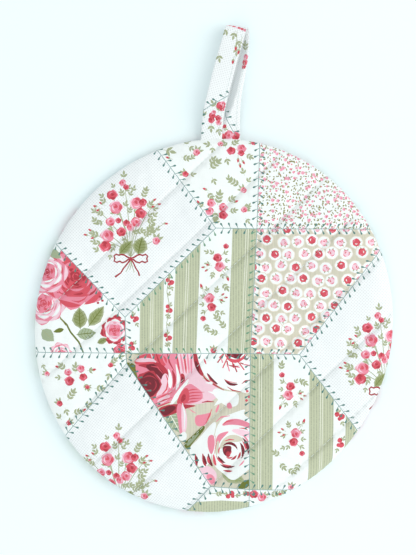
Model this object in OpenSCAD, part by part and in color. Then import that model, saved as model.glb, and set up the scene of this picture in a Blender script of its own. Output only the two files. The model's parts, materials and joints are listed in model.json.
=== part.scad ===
// Round quilted pot holder with a folded hanging loop.
// Millimetres. The origin is the middle of the pad's underside, +Z is up through the pad and +Y points to
// the loop. The pad lies flat, printed face up.
// The pad creases along its middle quilting row, so every layer is two halves: the main half carries the
// loop and the flap half folds up over it.

/* [Pad] */
// Length of the slightly oval pad
pad_l = 204; // [160:1:260]
// Width of the pad across its length
pad_w = 193; // [150:1:250]
// Lean of the pad's long axis from +Y towards +X, in degrees
pad_lean = 21; // [-45:1:45]
// Width of the rounded border inside the rim
rim_round = 9; // [6:0.5:14]
// Height of the seam between the two covers above the underside
seam_z = 3.6; // [3.4:0.1:4]

/* [Layers] */
// Thickness of each printed cover
cover_t = 0.45; // [0.3:0.05:0.6]
// Thickness of the wadding under the back cover
back_wadding_t = 1.5; // [1:0.1:1.6]
// Thickness of the heat-resistant felt
felt_t = 3.1; // [3:0.1:4]
// Thickness of the wadding under the front cover
front_wadding_t = 3.1; // [2:0.1:5]

/* [Quilting] */
// Direction of the quilting rows from +X, in degrees
row_angle = 43.5; // [30:0.5:60]
// Distance between quilting rows
row_pitch = 26; // [24:0.5:28]
// Distance of the middle row from the origin, towards the flap
row_offset = 9.8; // [5:0.1:15]
// Diameter of the sewing thread
thread_d = 0.5; // [0.3:0.1:0.6]

/* [Hanging loop] */
// Length of the loop past the rim
loop_l = 57; // [45:1:70]
// Width of the folded strip
strip_w = 11.4; // [9:0.1:11.6]
// Thickness of the folded strip
strip_t = 1.3; // [1:0.1:1.4]
// Length of each strip end that is sewn into the pad
strip_end_l = 8; // [5:0.5:9]
// Height of the gap between the loop's two legs
loop_gap = 5.2; // [5:0.1:6]
// Lean of the front leg from +Y towards +X, in degrees
front_leg_lean = 12.8; // [8:0.1:16]
// Lean of the back leg from +Y towards +X, in degrees
back_leg_lean = 3.6; // [0:0.1:6]

/* [Hidden] */

MAIN = -1;
FLAP = 1;
row_count = 7;
half_segments = 24;
thread_sides = 6;
ply_gap = 0.05;
fold_gap = 0.3;

// Layer heights at the flat middle of the pad
back_wadding_z = cover_t + ply_gap;
felt_z = back_wadding_z + back_wadding_t + ply_gap;
front_wadding_z = felt_z + felt_t + ply_gap;
front_cover_z = front_wadding_z + front_wadding_t + ply_gap;
pad_h = front_cover_z + cover_t;

along = [cos(row_angle), sin(row_angle)];
across = [sin(row_angle), -cos(row_angle)];
// The crease runs just beside the middle row's thread
crease_offset = row_offset + thread_d / 2 + fold_gap;

// Top of the oval rim, where the loop leaves the pad
rim_top_y = sqrt(pow(pad_l / 2 * cos(pad_lean), 2) + pow(pad_w / 2 * sin(pad_lean), 2));
hinge_clearance = 1.8;
hinge_y = rim_top_y + hinge_clearance;
front_root_x = -1.4;
back_root_x = 9.3;
front_root_z = seam_z + strip_t / 2 + ply_gap;
back_root_z = seam_z - strip_t / 2 - ply_gap;
back_leg_lift = thread_d + 0.3;
back_leg_z = strip_t / 2 + back_leg_lift;
front_leg_z = back_leg_z + strip_t + loop_gap;
bend_r = (front_leg_z - back_leg_z) / 2;

// Distance from point p along unit direction u to the pad's oval outline
function outline_distance(p, u) =
    let (
        long_dir = [sin(pad_lean), cos(pad_lean)],
        wide_dir = [cos(pad_lean), -sin(pad_lean)],
        pl = (p * long_dir) / (pad_l / 2),
        pw = (p * wide_dir) / (pad_w / 2),
        ul = (u * long_dir) / (pad_l / 2),
        uw = (u * wide_dir) / (pad_w / 2),
        a = ul * ul + uw * uw,
        b = pl * ul + pw * uw,
        c = pl * pl + pw * pw - 1
    )
    (-b + sqrt(b * b - a * c)) / a;

// Distance of point p inside the outline, measured along the line from the origin through it
function inset_of(p) = outline_distance([0, 0], p / norm(p)) - norm(p);

// Share of the full height that a rounded border of width round_w reaches at a given inset
function border_rise(inset, round_w) =
    sqrt(1 - pow(1 - min(max(inset, 0), round_w) / round_w, 2));

function outer_top(inset) = seam_z + (pad_h - seam_z) * border_rise(inset, rim_round);
function inner_top(inset) =
    seam_z + (front_cover_z - seam_z) * border_rise(inset - cover_t, rim_round - cover_t);
function outer_bottom(inset) = seam_z * (1 - border_rise(inset, rim_round));
function inner_bottom(inset) =
    seam_z - (seam_z - cover_t) * border_rise(inset - cover_t, rim_round - cover_t);

// Insets from the rim at which the rounded border is sampled
border_steps = [0, 0.03, 0.1, 0.24, 0.45, 0.7, 1];
outer_insets = [for (s = border_steps) s * rim_round];
inner_insets = [for (s = border_steps) cover_t + s * (rim_round - cover_t)];

function reversed(list) = [for (i = [len(list) - 1 : -1 : 0]) list[i]];

// Middle of the crease, set back by half the fold gap on each side
function half_centre(side) = (crease_offset + side * fold_gap / 2) * across;
function half_direction(side, i) =
    let (turn = row_angle + (side == MAIN ? 0 : 180) + i * 180 / half_segments)
    [cos(turn), sin(turn)];
function half_point(side, i, inset, z) =
    let (
        c = half_centre(side),
        u = half_direction(side, i),
        p = c + (outline_distance(c, u) - inset) * u
    )
    [p.x, p.y, z];

// Solid half layer. curve runs from the top of the layer out to its edge and back under it, as [inset, z]
// pairs, and the layer's middle is closed at the heights of its first and last pairs.
module half_layer(side, curve) {
    n = len(curve);
    c = half_centre(side);
    rings = [for (i = [0 : half_segments]) for (q = curve) half_point(side, i, q[0], q[1])];
    top = len(rings);
    bottom = top + 1;
    points = concat(rings, [[c.x, c.y, curve[0][1]], [c.x, c.y, curve[n - 1][1]]]);
    skin = [
        for (i = [0 : half_segments - 1]) for (k = [0 : n - 2])
            each [
                [i * n + k, (i + 1) * n + k + 1, (i + 1) * n + k],
                [i * n + k, i * n + k + 1, (i + 1) * n + k + 1]
            ]
    ];
    fans = [
        for (i = [0 : half_segments - 1])
            each [[top, i * n, (i + 1) * n], [bottom, (i + 1) * n + n - 1, i * n + n - 1]]
    ];
    first_cut = concat([top, bottom], [for (k = [n - 1 : -1 : 0]) k]);
    last_cut = concat([bottom, top], [for (k = [0 : n - 1]) half_segments * n + k]);
    polyhedron(points, concat(skin, fans, [first_cut, last_cut]));
}

// Round rod through a list of points, with its first and last rings in the planes of cross sections
module rod(path, r) {
    n = len(path);
    function heading(i) = path[min(i + 1, n - 1)] - path[max(i - 1, 0)];
    function ring(i) =
        let (
            h = heading(i) / norm(heading(i)),
            s = cross([0, 0, 1], h) / norm(cross([0, 0, 1], h)),
            u = cross(h, s)
        )
        [for (k = [0 : thread_sides - 1])
            path[i] + r * (cos(k * 360 / thread_sides) * s + sin(k * 360 / thread_sides) * u)];
    points = [for (i = [0 : n - 1]) each ring(i)];
    sides = [
        for (i = [0 : n - 2]) for (k = [0 : thread_sides - 1])
            let (
                a = i * thread_sides + k,
                b = i * thread_sides + (k + 1) % thread_sides
            )
            each [[a, b + thread_sides, b], [a, a + thread_sides, b + thread_sides]]
    ];
    start = [for (k = [0 : thread_sides - 1]) k];
    finish = [for (k = [thread_sides - 1 : -1 : 0]) (n - 1) * thread_sides + k];
    polyhedron(points, concat(sides, [start, finish]));
}

/* Covers */

// Space that the strip's end needs through the rim, at one leg's root
module root_slot(root_x, root_z) {
    slot_w = strip_w + 4 * ply_gap;
    slot_h = strip_t + 2 * ply_gap;
    slot_l = strip_end_l + 2 * hinge_clearance;
    translate([root_x - slot_w / 2, hinge_y - slot_l, root_z - slot_h / 2])
        cube([slot_w, slot_l, slot_h]);
}

module front_cover(side) {
    outside = [for (e = reversed(outer_insets)) [e, outer_top(e)]];
    inside = [for (e = inner_insets) [e, inner_top(e)]];
    color("oldlace") half_layer(side, concat(outside, inside));
}

module front_cover_main() {
    color("oldlace") difference() {
        front_cover(MAIN);
        root_slot(front_root_x, front_root_z);
    }
}

module front_cover_flap() {
    front_cover(FLAP);
}

module back_cover(side) {
    inside = [for (e = reversed(inner_insets)) [e, inner_bottom(e)]];
    outside = [for (e = outer_insets) [e, outer_bottom(e)]];
    color("linen") half_layer(side, concat(inside, outside));
}

module back_cover_main() {
    color("linen") difference() {
        back_cover(MAIN);
        root_slot(back_root_x, back_root_z);
    }
}

module back_cover_flap() {
    back_cover(FLAP);
}

/* Filling */

front_wadding_edge = 2;
back_wadding_edge = 3.6;
felt_edge = 10;

module front_wadding(side) {
    edge = [for (e = reversed(inner_insets)) if (e > front_wadding_edge) [e, inner_top(e) - ply_gap]];
    last = edge[len(edge) - 1][0];
    color("white") half_layer(side, concat(edge, [[last, front_wadding_z]]));
}

module front_wadding_main() {
    front_wadding(MAIN);
}

module front_wadding_flap() {
    front_wadding(FLAP);
}

module heat_felt(side) {
    color("silver") half_layer(side, [[felt_edge, felt_z + felt_t], [felt_edge, felt_z]]);
}

module heat_felt_main() {
    heat_felt(MAIN);
}

module heat_felt_flap() {
    heat_felt(FLAP);
}

module back_wadding(side) {
    edge = [for (e = inner_insets) if (e > back_wadding_edge) [e, inner_bottom(e) + ply_gap]];
    color("white") half_layer(side, concat([[edge[0][0], back_wadding_z + back_wadding_t]], edge));
}

module back_wadding_main() {
    back_wadding(MAIN);
}

module back_wadding_flap() {
    back_wadding(FLAP);
}

/* Thread */

rim_seam_inset = 2.2;

// Machine seam that joins the two covers, inside the turned edge
module rim_seam(side) {
    path = [for (i = [0 : half_segments]) half_point(side, i, rim_seam_inset, seam_z)];
    color("ivory") rod(path, thread_d / 2);
}

module rim_seam_main() {
    rim_seam(MAIN);
}

module rim_seam_flap() {
    rim_seam(FLAP);
}

row_steps = 18;
row_end_inset = 4;

// One quilting row, lying on the front cover from border to border
module quilt_row(number) {
    offset = row_offset + (number - (row_count + 1) / 2) * row_pitch;
    middle = offset * across;
    ahead = outline_distance(middle, along) - row_end_inset;
    behind = outline_distance(middle, -along) - row_end_inset;
    path = [
        for (i = [0 : row_steps])
            let (
                p = middle + (-behind + (ahead + behind) * (1 - cos(i * 180 / row_steps)) / 2) * along,
                z = outer_top(inset_of(p)) + thread_d / 2 + 2 * ply_gap
            )
            [p.x, p.y, z]
    ];
    color("ivory") rod(path, thread_d / 2);
}

module quilt_row_1() {
    quilt_row(1);
}

module quilt_row_2() {
    quilt_row(2);
}

module quilt_row_3() {
    quilt_row(3);
}

module quilt_row_4() {
    quilt_row(4);
}

module quilt_row_5() {
    quilt_row(5);
}

module quilt_row_6() {
    quilt_row(6);
}

module quilt_row_7() {
    quilt_row(7);
}

closing_count = 12;
closing_pitch = 4.5;
closing_stitch_l = 3;
closing_inset = 1.1;
closing_middle_segment = 10;

// Hand stitches that close the turning gap in the rim, just inside the fold of the cloth
module closing_stitches() {
    middle = half_point(FLAP, closing_middle_segment, 0, seam_z);
    middle_turn = atan2(middle.y, middle.x);
    turn_step = closing_pitch / norm([middle.x, middle.y]) * 180 / PI;
    color("ivory") for (i = [0 : closing_count - 1]) {
        turn = middle_turn + (i - (closing_count - 1) / 2) * turn_step;
        u = [cos(turn), sin(turn)];
        r = outline_distance([0, 0], u) - closing_inset;
        translate([r * u.x, r * u.y, seam_z])
            rotate([90, 0, turn])
                cylinder(h = closing_stitch_l, d = thread_d, center = true, $fn = 16);
    }
}

/* Hanging loop */

// Ends of the strip, sewn between the covers
module loop_ends() {
    root_set_back = hinge_clearance - 0.1;
    color("whitesmoke")
        for (root = [[front_root_x, front_root_z], [back_root_x, back_root_z]])
            translate([root[0] - strip_w / 2, hinge_y - root_set_back - strip_end_l, root[1] - strip_t / 2])
                cube([strip_w, strip_end_l, strip_t]);
}

leg_steps = 10;
bend_steps = 10;
front_rise_l = 22;
back_drop_l = 12;
leg_l = loop_l - hinge_clearance - bend_r;

function eased(t) = let (c = min(max(t, 0), 1)) c * c * (3 - 2 * c);

function front_leg_point(s) = [
    front_root_x + s * tan(front_leg_lean),
    hinge_y + s,
    front_root_z + (front_leg_z - front_root_z) * eased(s / front_rise_l)
];
function back_leg_point(s) = [
    back_root_x + s * tan(back_leg_lean),
    hinge_y + s,
    back_root_z + (back_leg_z - back_root_z) * eased(s / back_drop_l)
];
function bend_point(t) =
    let (from = front_leg_point(leg_l), to = back_leg_point(leg_l))
    [
        from.x + (to.x - from.x) * (1 - cos(t * 180)) / 2,
        from.y + bend_r * sin(t * 180),
        (from.z + to.z) / 2 + bend_r * cos(t * 180)
    ];
function width_dir(t) =
    let (lean = front_leg_lean + (back_leg_lean - front_leg_lean) * t)
    [cos(lean), -sin(lean), 0];

// Stations along the strip from the front root over the bend to the back root: point and width direction
strip_stations = concat(
    [for (i = [0 : leg_steps - 1]) [front_leg_point(leg_l * i / leg_steps), width_dir(0)]],
    [for (i = [0 : bend_steps]) [bend_point(i / bend_steps), width_dir(i / bend_steps)]],
    [for (i = [leg_steps - 1 : -1 : 0]) [back_leg_point(leg_l * i / leg_steps), width_dir(1)]]
);
station_count = len(strip_stations);

// Direction out of the strip's outer face at one station
function station_outward(i) =
    let (
        root_station = i == 0 || i == station_count - 1,
        ahead = strip_stations[min(i + 1, station_count - 1)][0],
        behind = strip_stations[max(i - 1, 0)][0],
        heading = root_station ? [0, i == 0 ? 1 : -1, 0] : ahead - behind,
        n = cross(strip_stations[i][1], heading)
    )
    n / norm(n);

// Folded strip, bent back on itself to make the hanging loop
module hanging_loop() {
    points = [
        for (i = [0 : station_count - 1])
            let (
                p = strip_stations[i][0],
                w = strip_stations[i][1] * strip_w / 2,
                n = station_outward(i) * strip_t / 2
            )
            each [p - w - n, p + w - n, p + w + n, p - w + n]
    ];
    sides = [
        for (i = [0 : station_count - 2]) for (k = [0 : 3])
            let (a = 4 * i + k, b = 4 * i + (k + 1) % 4)
            each [[a, b + 4, b], [a, a + 4, b + 4]]
    ];
    last = 4 * (station_count - 1);
    ends = [[0, 1, 2, 3], [last + 3, last + 2, last + 1, last]];
    color("whitesmoke") polyhedron(points, concat(sides, ends));
}

topstitch_from_edge = 1.6;

// Stitching that closes the folded strip along one edge
module loop_topstitch() {
    path = [
        for (i = [1 : station_count - 2])
            strip_stations[i][0]
                + strip_stations[i][1] * (strip_w / 2 - topstitch_from_edge)
                + station_outward(i) * (strip_t / 2 + thread_d / 2 + 2 * ply_gap)
    ];
    color("ivory") strip_rod(path);
}

// Rod along the loop, whose rings keep to the loop's width direction as it turns over
module strip_rod(path) {
    n = len(path);
    r = thread_d / 2;
    points = [
        for (i = [0 : n - 1]) for (k = [0 : thread_sides - 1])
            let (turn = k * 360 / thread_sides)
            path[i] + r * (cos(turn) * strip_stations[i + 1][1] + sin(turn) * station_outward(i + 1))
    ];
    sides = [
        for (i = [0 : n - 2]) for (k = [0 : thread_sides - 1])
            let (
                a = i * thread_sides + k,
                b = i * thread_sides + (k + 1) % thread_sides
            )
            each [[a, b + thread_sides, b], [a, a + thread_sides, b + thread_sides]]
    ];
    start = [for (k = [0 : thread_sides - 1]) k];
    finish = [for (k = [thread_sides - 1 : -1 : 0]) (n - 1) * thread_sides + k];
    polyhedron(points, concat(sides, [start, finish]));
}

front_cover_main();
front_cover_flap();
front_wadding_main();
front_wadding_flap();
heat_felt_main();
heat_felt_flap();
back_wadding_main();
back_wadding_flap();
back_cover_main();
back_cover_flap();
rim_seam_main();
rim_seam_flap();
quilt_row_1();
quilt_row_2();
quilt_row_3();
quilt_row_4();
quilt_row_5();
quilt_row_6();
quilt_row_7();
closing_stitches();
loop_ends();
hanging_loop();
loop_topstitch();
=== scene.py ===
"""Round quilted pot holder in patchwork-print cotton, with its filling, quilting and hanging loop.

Flat cloth is drawn in millimetres, with x to the right, y towards the loop and the origin at the middle of
the pad. Each printed cover is one triangulated sheet whose edges follow the printed shapes, so every face has
one ink. The sheet is then laid over the padded form that the cloth simulation gives.
"""

import json
import math
import random

import bpy
import numpy as np
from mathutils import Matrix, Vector
from mathutils.geometry import delaunay_2d_cdt


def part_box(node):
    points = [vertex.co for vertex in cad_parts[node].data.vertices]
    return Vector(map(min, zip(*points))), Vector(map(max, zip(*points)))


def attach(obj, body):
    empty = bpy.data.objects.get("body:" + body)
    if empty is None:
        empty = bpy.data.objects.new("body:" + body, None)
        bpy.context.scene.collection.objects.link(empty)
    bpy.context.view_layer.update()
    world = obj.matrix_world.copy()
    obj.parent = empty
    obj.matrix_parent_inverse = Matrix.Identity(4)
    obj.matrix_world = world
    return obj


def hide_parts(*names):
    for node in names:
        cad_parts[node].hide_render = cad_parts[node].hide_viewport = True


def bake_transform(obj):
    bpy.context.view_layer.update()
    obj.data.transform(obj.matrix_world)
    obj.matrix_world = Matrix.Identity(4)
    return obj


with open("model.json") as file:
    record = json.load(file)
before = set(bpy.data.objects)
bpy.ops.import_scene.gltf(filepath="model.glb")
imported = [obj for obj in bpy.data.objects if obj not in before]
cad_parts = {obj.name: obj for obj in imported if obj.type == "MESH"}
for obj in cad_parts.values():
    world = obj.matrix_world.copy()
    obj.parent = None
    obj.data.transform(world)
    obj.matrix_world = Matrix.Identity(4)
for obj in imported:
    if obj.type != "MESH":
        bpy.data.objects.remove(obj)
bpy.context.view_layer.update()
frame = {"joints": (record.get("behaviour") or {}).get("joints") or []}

MM = 0.001
TAU = 2 * math.pi

# ---------------------------------------------------------------- dimensions, in millimetres

PAD_LENGTH = 204
PAD_WIDTH = 193
PAD_LEAN = math.radians(21)
ROW_PITCH = 26
ROW_COUNT = 7
SIDE_ROWS = ROW_COUNT // 2
MIDDLE_ROW = SIDE_ROWS + 1
RIM_ROUND = 9.0
CAD_THREAD_RADIUS = 0.25
SEAM_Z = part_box("rim_seam_main")[0][2] / MM + CAD_THREAD_RADIUS
PAD_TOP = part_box("front_cover_main")[1][2] / MM

JOINTS = {joint["name"]: joint for joint in frame["joints"]}
FOLD_AXIS = np.array(JOINTS["pad_fold"]["axis"][:2], float)
ALONG = -FOLD_AXIS / np.linalg.norm(FOLD_AXIS)
ACROSS = np.array([ALONG[1], -ALONG[0]])
CREASE = np.array(JOINTS["pad_fold"]["pos_m"][:2], float) / MM
CREASE_OFFSET = float(CREASE @ ACROSS)
# The middle row of stitches lies beside the fold's line, by half a thread and the gap of the fold in the CAD
ROW_FROM_CREASE = 0.55
ROW_OFFSET = CREASE_OFFSET - ROW_FROM_CREASE

INKS = {
    "white": (251, 252, 250),
    "pique": (253, 253, 253),
    "sage": (201, 204, 174),
    "cream": (244, 243, 228),
    "taupe": (216, 209, 189),
    "leaf": (172, 177, 140),
    "leaf_big": (150, 158, 106),
    "leaf_dark": (112, 120, 54),
    "leaf_grey": (168, 180, 148),
    "olive": (142, 134, 66),
    "coral": (222, 88, 102),
    "coral_dark": (186, 62, 74),
    "pink": (240, 142, 162),
    "pink_light": (250, 208, 220),
    "blush": (246, 172, 192),
    "ring": (238, 226, 212),
    "burgundy": (122, 44, 54),
    "bow": (166, 48, 56),
    "teal": (92, 134, 128),
    "teal_green": (118, 160, 132),
    "teal_line": (136, 168, 166),
}


def linear(rgb):
    """Linear colour of an sRGB triple from 0 to 255."""
    values = []
    for channel in rgb:
        c = channel / 255
        values.append(c / 12.92 if c <= 0.04045 else ((c + 0.055) / 1.055) ** 2.4)
    return values


# ---------------------------------------------------------------- the pad's oval

LONG_DIR = np.array([math.sin(PAD_LEAN), math.cos(PAD_LEAN)])
WIDE_DIR = np.array([math.cos(PAD_LEAN), -math.sin(PAD_LEAN)])


def outline_radius(direction, grow=0.0):
    """Distance from the middle to the oval, along each unit direction."""
    a = direction @ LONG_DIR / (PAD_LENGTH / 2 + grow)
    b = direction @ WIDE_DIR / (PAD_WIDTH / 2 + grow)
    return 1 / np.sqrt(a * a + b * b)


def outline_points(count, grow=0.0):
    """Points round the oval, at even turns, grown by a margin."""
    turns = np.arange(count) * TAU / count
    direction = np.stack([np.cos(turns), np.sin(turns)], axis=1)
    return direction * outline_radius(direction, grow)[:, None]


BORDER_TURN = np.linspace(0, math.pi / 2, 200)


def border_curve(rise):
    """The rounded border, from the seam to the flat of the pad: inset and height against cloth length."""
    inset = RIM_ROUND * (1 - np.cos(BORDER_TURN))
    height = rise * np.sin(BORDER_TURN)
    length = np.concatenate([[0], np.cumsum(np.hypot(np.diff(inset), np.diff(height)))])
    return inset, height, length


# ---------------------------------------------------------------- quilted relief from a cloth simulation

CELLS_PER_ROW = 10
GRID_STEP = ROW_PITCH / CELLS_PER_ROW
GRID_HALF = 42
FRAMES = 20
PUFF_FRONT = 1.5
PUFF_PINNED_INSET = 5.0
START_UNEVEN = 0.3
USUAL_TOP_PERCENTILE = 97
HIGHEST_OVER_USUAL = 1.15


def grid_positions():
    """Flat positions of the simulation grid, whose columns run along the quilting rows."""
    steps = np.arange(-GRID_HALF, GRID_HALF + 1) * GRID_STEP
    along, across = np.meshgrid(steps, steps + ROW_OFFSET, indexing="ij")
    return along[..., None] * ALONG + across[..., None] * ACROSS


def polar(flat):
    """Distance from the middle, and unit direction, of flat points."""
    radius = np.linalg.norm(flat, axis=-1)
    direction = flat / np.maximum(radius, 1e-9)[..., None]
    direction[radius < 1e-6] = LONG_DIR
    return radius, direction


def inset_from_rim(flat):
    """How far flat points lie inside the rim."""
    radius, direction = polar(flat)
    return outline_radius(direction) - radius


def simulate_puff():
    """Height of the cloth between the quilting rows, on the grid, from a pressure cloth simulation."""
    flat = grid_positions()
    size = flat.shape[0]
    rows = np.abs((np.arange(size) - GRID_HALF) % CELLS_PER_ROW) == 0
    pinned = np.broadcast_to(rows[None, :], (size, size)) | (inset_from_rim(flat) < PUFF_PINNED_INSET)
    rng = np.random.default_rng(5)
    start_height = np.where(pinned, 0, rng.uniform(0, START_UNEVEN, (size, size)))
    vertices = np.concatenate([flat, start_height[..., None]], axis=-1).reshape(-1, 3) * MM
    index = np.arange(size * size).reshape(size, size)
    quads = np.stack([index[:-1, :-1], index[1:, :-1], index[1:, 1:], index[:-1, 1:]], -1).reshape(-1, 4)
    # The across direction lies clockwise of the along direction, so the faces are turned to look up
    mesh = bpy.data.meshes.new("puff")
    mesh.from_pydata(vertices.tolist(), [], quads[:, ::-1].tolist())
    cloth_object = bpy.data.objects.new("puff", mesh)
    bpy.context.scene.collection.objects.link(cloth_object)
    group = cloth_object.vertex_groups.new(name="pinned")
    group.add(np.flatnonzero(pinned.reshape(-1)).tolist(), 1.0, "REPLACE")
    cloth = cloth_object.modifiers.new("Cloth", "CLOTH")
    cloth.settings.quality = 6
    cloth.settings.mass = 0.2
    cloth.settings.use_pressure = True
    cloth.settings.uniform_pressure_force = 4
    cloth.settings.shrink_min = -0.02
    cloth.settings.effector_weights.gravity = 0
    cloth.settings.vertex_group_mass = "pinned"
    cloth.collision_settings.use_self_collision = False
    for step in range(1, FRAMES + 1):
        bpy.context.scene.frame_set(step)
    evaluated = cloth_object.evaluated_get(bpy.context.evaluated_depsgraph_get())
    height = np.array([v.co.z for v in evaluated.data.vertices]).reshape(size, size) / MM
    bpy.data.objects.remove(cloth_object)
    bpy.data.meshes.remove(mesh)
    bpy.context.scene.frame_set(1)
    height = np.abs(np.where(pinned, 0, height))
    usual_top = np.percentile(height, USUAL_TOP_PERCENTILE)
    return np.clip(height, 0, HIGHEST_OVER_USUAL * usual_top) / usual_top * PUFF_FRONT


PUFF = simulate_puff()


def sample_puff(flat):
    """Smooth (quadratic spline) value of the puff grid at flat positions."""
    along = flat @ ALONG / GRID_STEP + GRID_HALF
    across = (flat @ ACROSS - ROW_OFFSET) / GRID_STEP + GRID_HALF
    top = PUFF.shape[0] - 2
    i = np.clip(np.rint(along).astype(int), 1, top)
    j = np.clip(np.rint(across).astype(int), 1, top)
    u = np.clip(along - i, -0.5, 0.5)
    v = np.clip(across - j, -0.5, 0.5)
    weight_u = [0.5 * (0.5 - u) ** 2, 0.75 - u * u, 0.5 * (0.5 + u) ** 2]
    weight_v = [0.5 * (0.5 - v) ** 2, 0.75 - v * v, 0.5 * (0.5 + v) ** 2]
    value = np.zeros(len(flat))
    for a in range(3):
        for b in range(3):
            value += weight_u[a] * weight_v[b] * PUFF[i + a - 1, j + b - 1]
    return value


STITCH_PITCH = 3.0
STITCH_LENGTH = 2.7
ROW_STAGGER = 1.3
GROOVE_DEPTH = 1.25
GROOVE_WIDTH = 1.25
TUG_MEAN, TUG_SWING = 0.82, 0.18


def row_distance(flat):
    """Signed distance to the nearest quilting row, and position along it."""
    across = flat @ ACROSS - ROW_OFFSET
    number = np.clip(np.rint(across / ROW_PITCH), -SIDE_ROWS, SIDE_ROWS)
    return across - number * ROW_PITCH, flat @ ALONG + ROW_STAGGER * number


def groove(flat):
    """How far the thread pulls the cloth in beside each quilting row, from 0 to 1."""
    distance, along = row_distance(flat)
    tug = TUG_MEAN + TUG_SWING * np.cos(TAU * along / STITCH_PITCH)
    return tug * np.exp(-((distance / GROOVE_WIDTH) ** 2))


WAVE_COUNT = 6


def soft_waves(flat, seed, scale):
    """Slow unevenness of hand-made cloth, from -1 to 1, with waves about as long as scale."""
    rng = np.random.default_rng(seed)
    value = np.zeros(len(flat))
    for _ in range(WAVE_COUNT):
        direction = rng.uniform(0, TAU)
        length = scale * rng.uniform(0.6, 1.6)
        phase = rng.uniform(0, TAU)
        value += np.sin((flat @ [math.cos(direction), math.sin(direction)]) * TAU / length + phase)
    return value / WAVE_COUNT


BACK_CURVE = border_curve(SEAM_Z)
FRONT_CURVE = border_curve(PAD_TOP - SEAM_Z - GROOVE_DEPTH)
CLOTH_GROW = float(FRONT_CURVE[2][-1] - RIM_ROUND)
BACK_GROW = float(BACK_CURVE[2][-1] - RIM_ROUND)
SEAM_CREASE = 0.4
SEAM_CREASE_WIDTH = 0.5
BACK_GROOVE_DEPTH = 0.8
# Unevenness of the covers: height, seed and length of the waves
LONG_WAVES = (0.35, 11, 60)
FINE_WAVES = (0.10, 12, 9)
BACK_WAVES = (0.12, 21, 40)
FLOOR_CLEARANCE = 0.02


def lay_on_border(flat, curve, grow):
    """Plan position and border height for flat cloth that reaches grow past the rim and wraps round it."""
    radius, direction = polar(flat)
    rim = outline_radius(direction)
    cloth_inset = np.maximum(rim + grow - radius, 0)
    length = curve[2][-1]
    inset = np.where(cloth_inset < length, np.interp(cloth_inset, curve[2], curve[0]), cloth_inset - grow)
    inset += SEAM_CREASE * np.exp(-((cloth_inset / SEAM_CREASE_WIDTH) ** 2))
    height = np.interp(cloth_inset, curve[2], curve[1])
    return direction * (rim - inset)[:, None], height, inset


def front_surface(flat):
    """Position in millimetres of the front cover for flat cloth positions."""
    plan, height, inset = lay_on_border(flat, FRONT_CURVE, CLOTH_GROW)
    settled = np.clip(inset / RIM_ROUND, 0, 1)
    z = SEAM_Z + height
    z += sample_puff(flat)
    z -= GROOVE_DEPTH * groove(flat) * settled
    for wave_height, seed, scale in (LONG_WAVES, FINE_WAVES):
        z += wave_height * soft_waves(flat, seed, scale) * settled
    return np.column_stack([plan, z])


def back_surface(flat):
    """Position in millimetres of the back cover, which rests on the floor between its grooves."""
    _, direction = polar(flat)
    rim = outline_radius(direction)
    shrunk = flat * ((rim + BACK_GROW) / (rim + CLOTH_GROW))[:, None]
    plan, height, inset = lay_on_border(shrunk, BACK_CURVE, BACK_GROW)
    settled = np.clip(inset / RIM_ROUND, 0, 1)
    z = SEAM_Z - height
    z += BACK_GROOVE_DEPTH * groove(flat) * settled
    wave_height, seed, scale = BACK_WAVES
    z += wave_height * (1 + soft_waves(flat, seed, scale)) * settled
    return np.column_stack([plan, np.maximum(z, FLOOR_CLEARANCE)])


# ---------------------------------------------------------------- drawing tools for the print


def away(at, distance, angle):
    """The point that lies at a distance from another one, in the direction of an angle."""
    return (at[0] + distance * math.cos(angle), at[1] + distance * math.sin(angle))


class Design:
    """Printed shapes, patch by patch, in the order they are laid down. A later shape covers an earlier one.
    The shapes in seams show on every patch."""

    def __init__(self):
        self.patches = []
        self.seams = []
        self.shapes = self.seams
        self.random = random.Random(7)

    def shape(self, points, ink, ground=None, vary=0.05):
        """Adds a shape, whose ink varies a little from shape to shape."""
        shade = 1 + self.random.uniform(-vary, vary)
        colour = [min(c * shade, 1) for c in linear(INKS[ink])]
        self.shapes.append({"points": points, "colour": colour, "ground": ground})

    def start_patch(self, points, ink="white", ground="plain", weave_turn=0):
        """Starts a patch with these corners, to which the next shapes belong."""
        self.shapes = []
        self.patches.append({"points": points, "colour": linear(INKS[ink]), "ground": ground,
                             "turn": weave_turn, "shapes": self.shapes})


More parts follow.
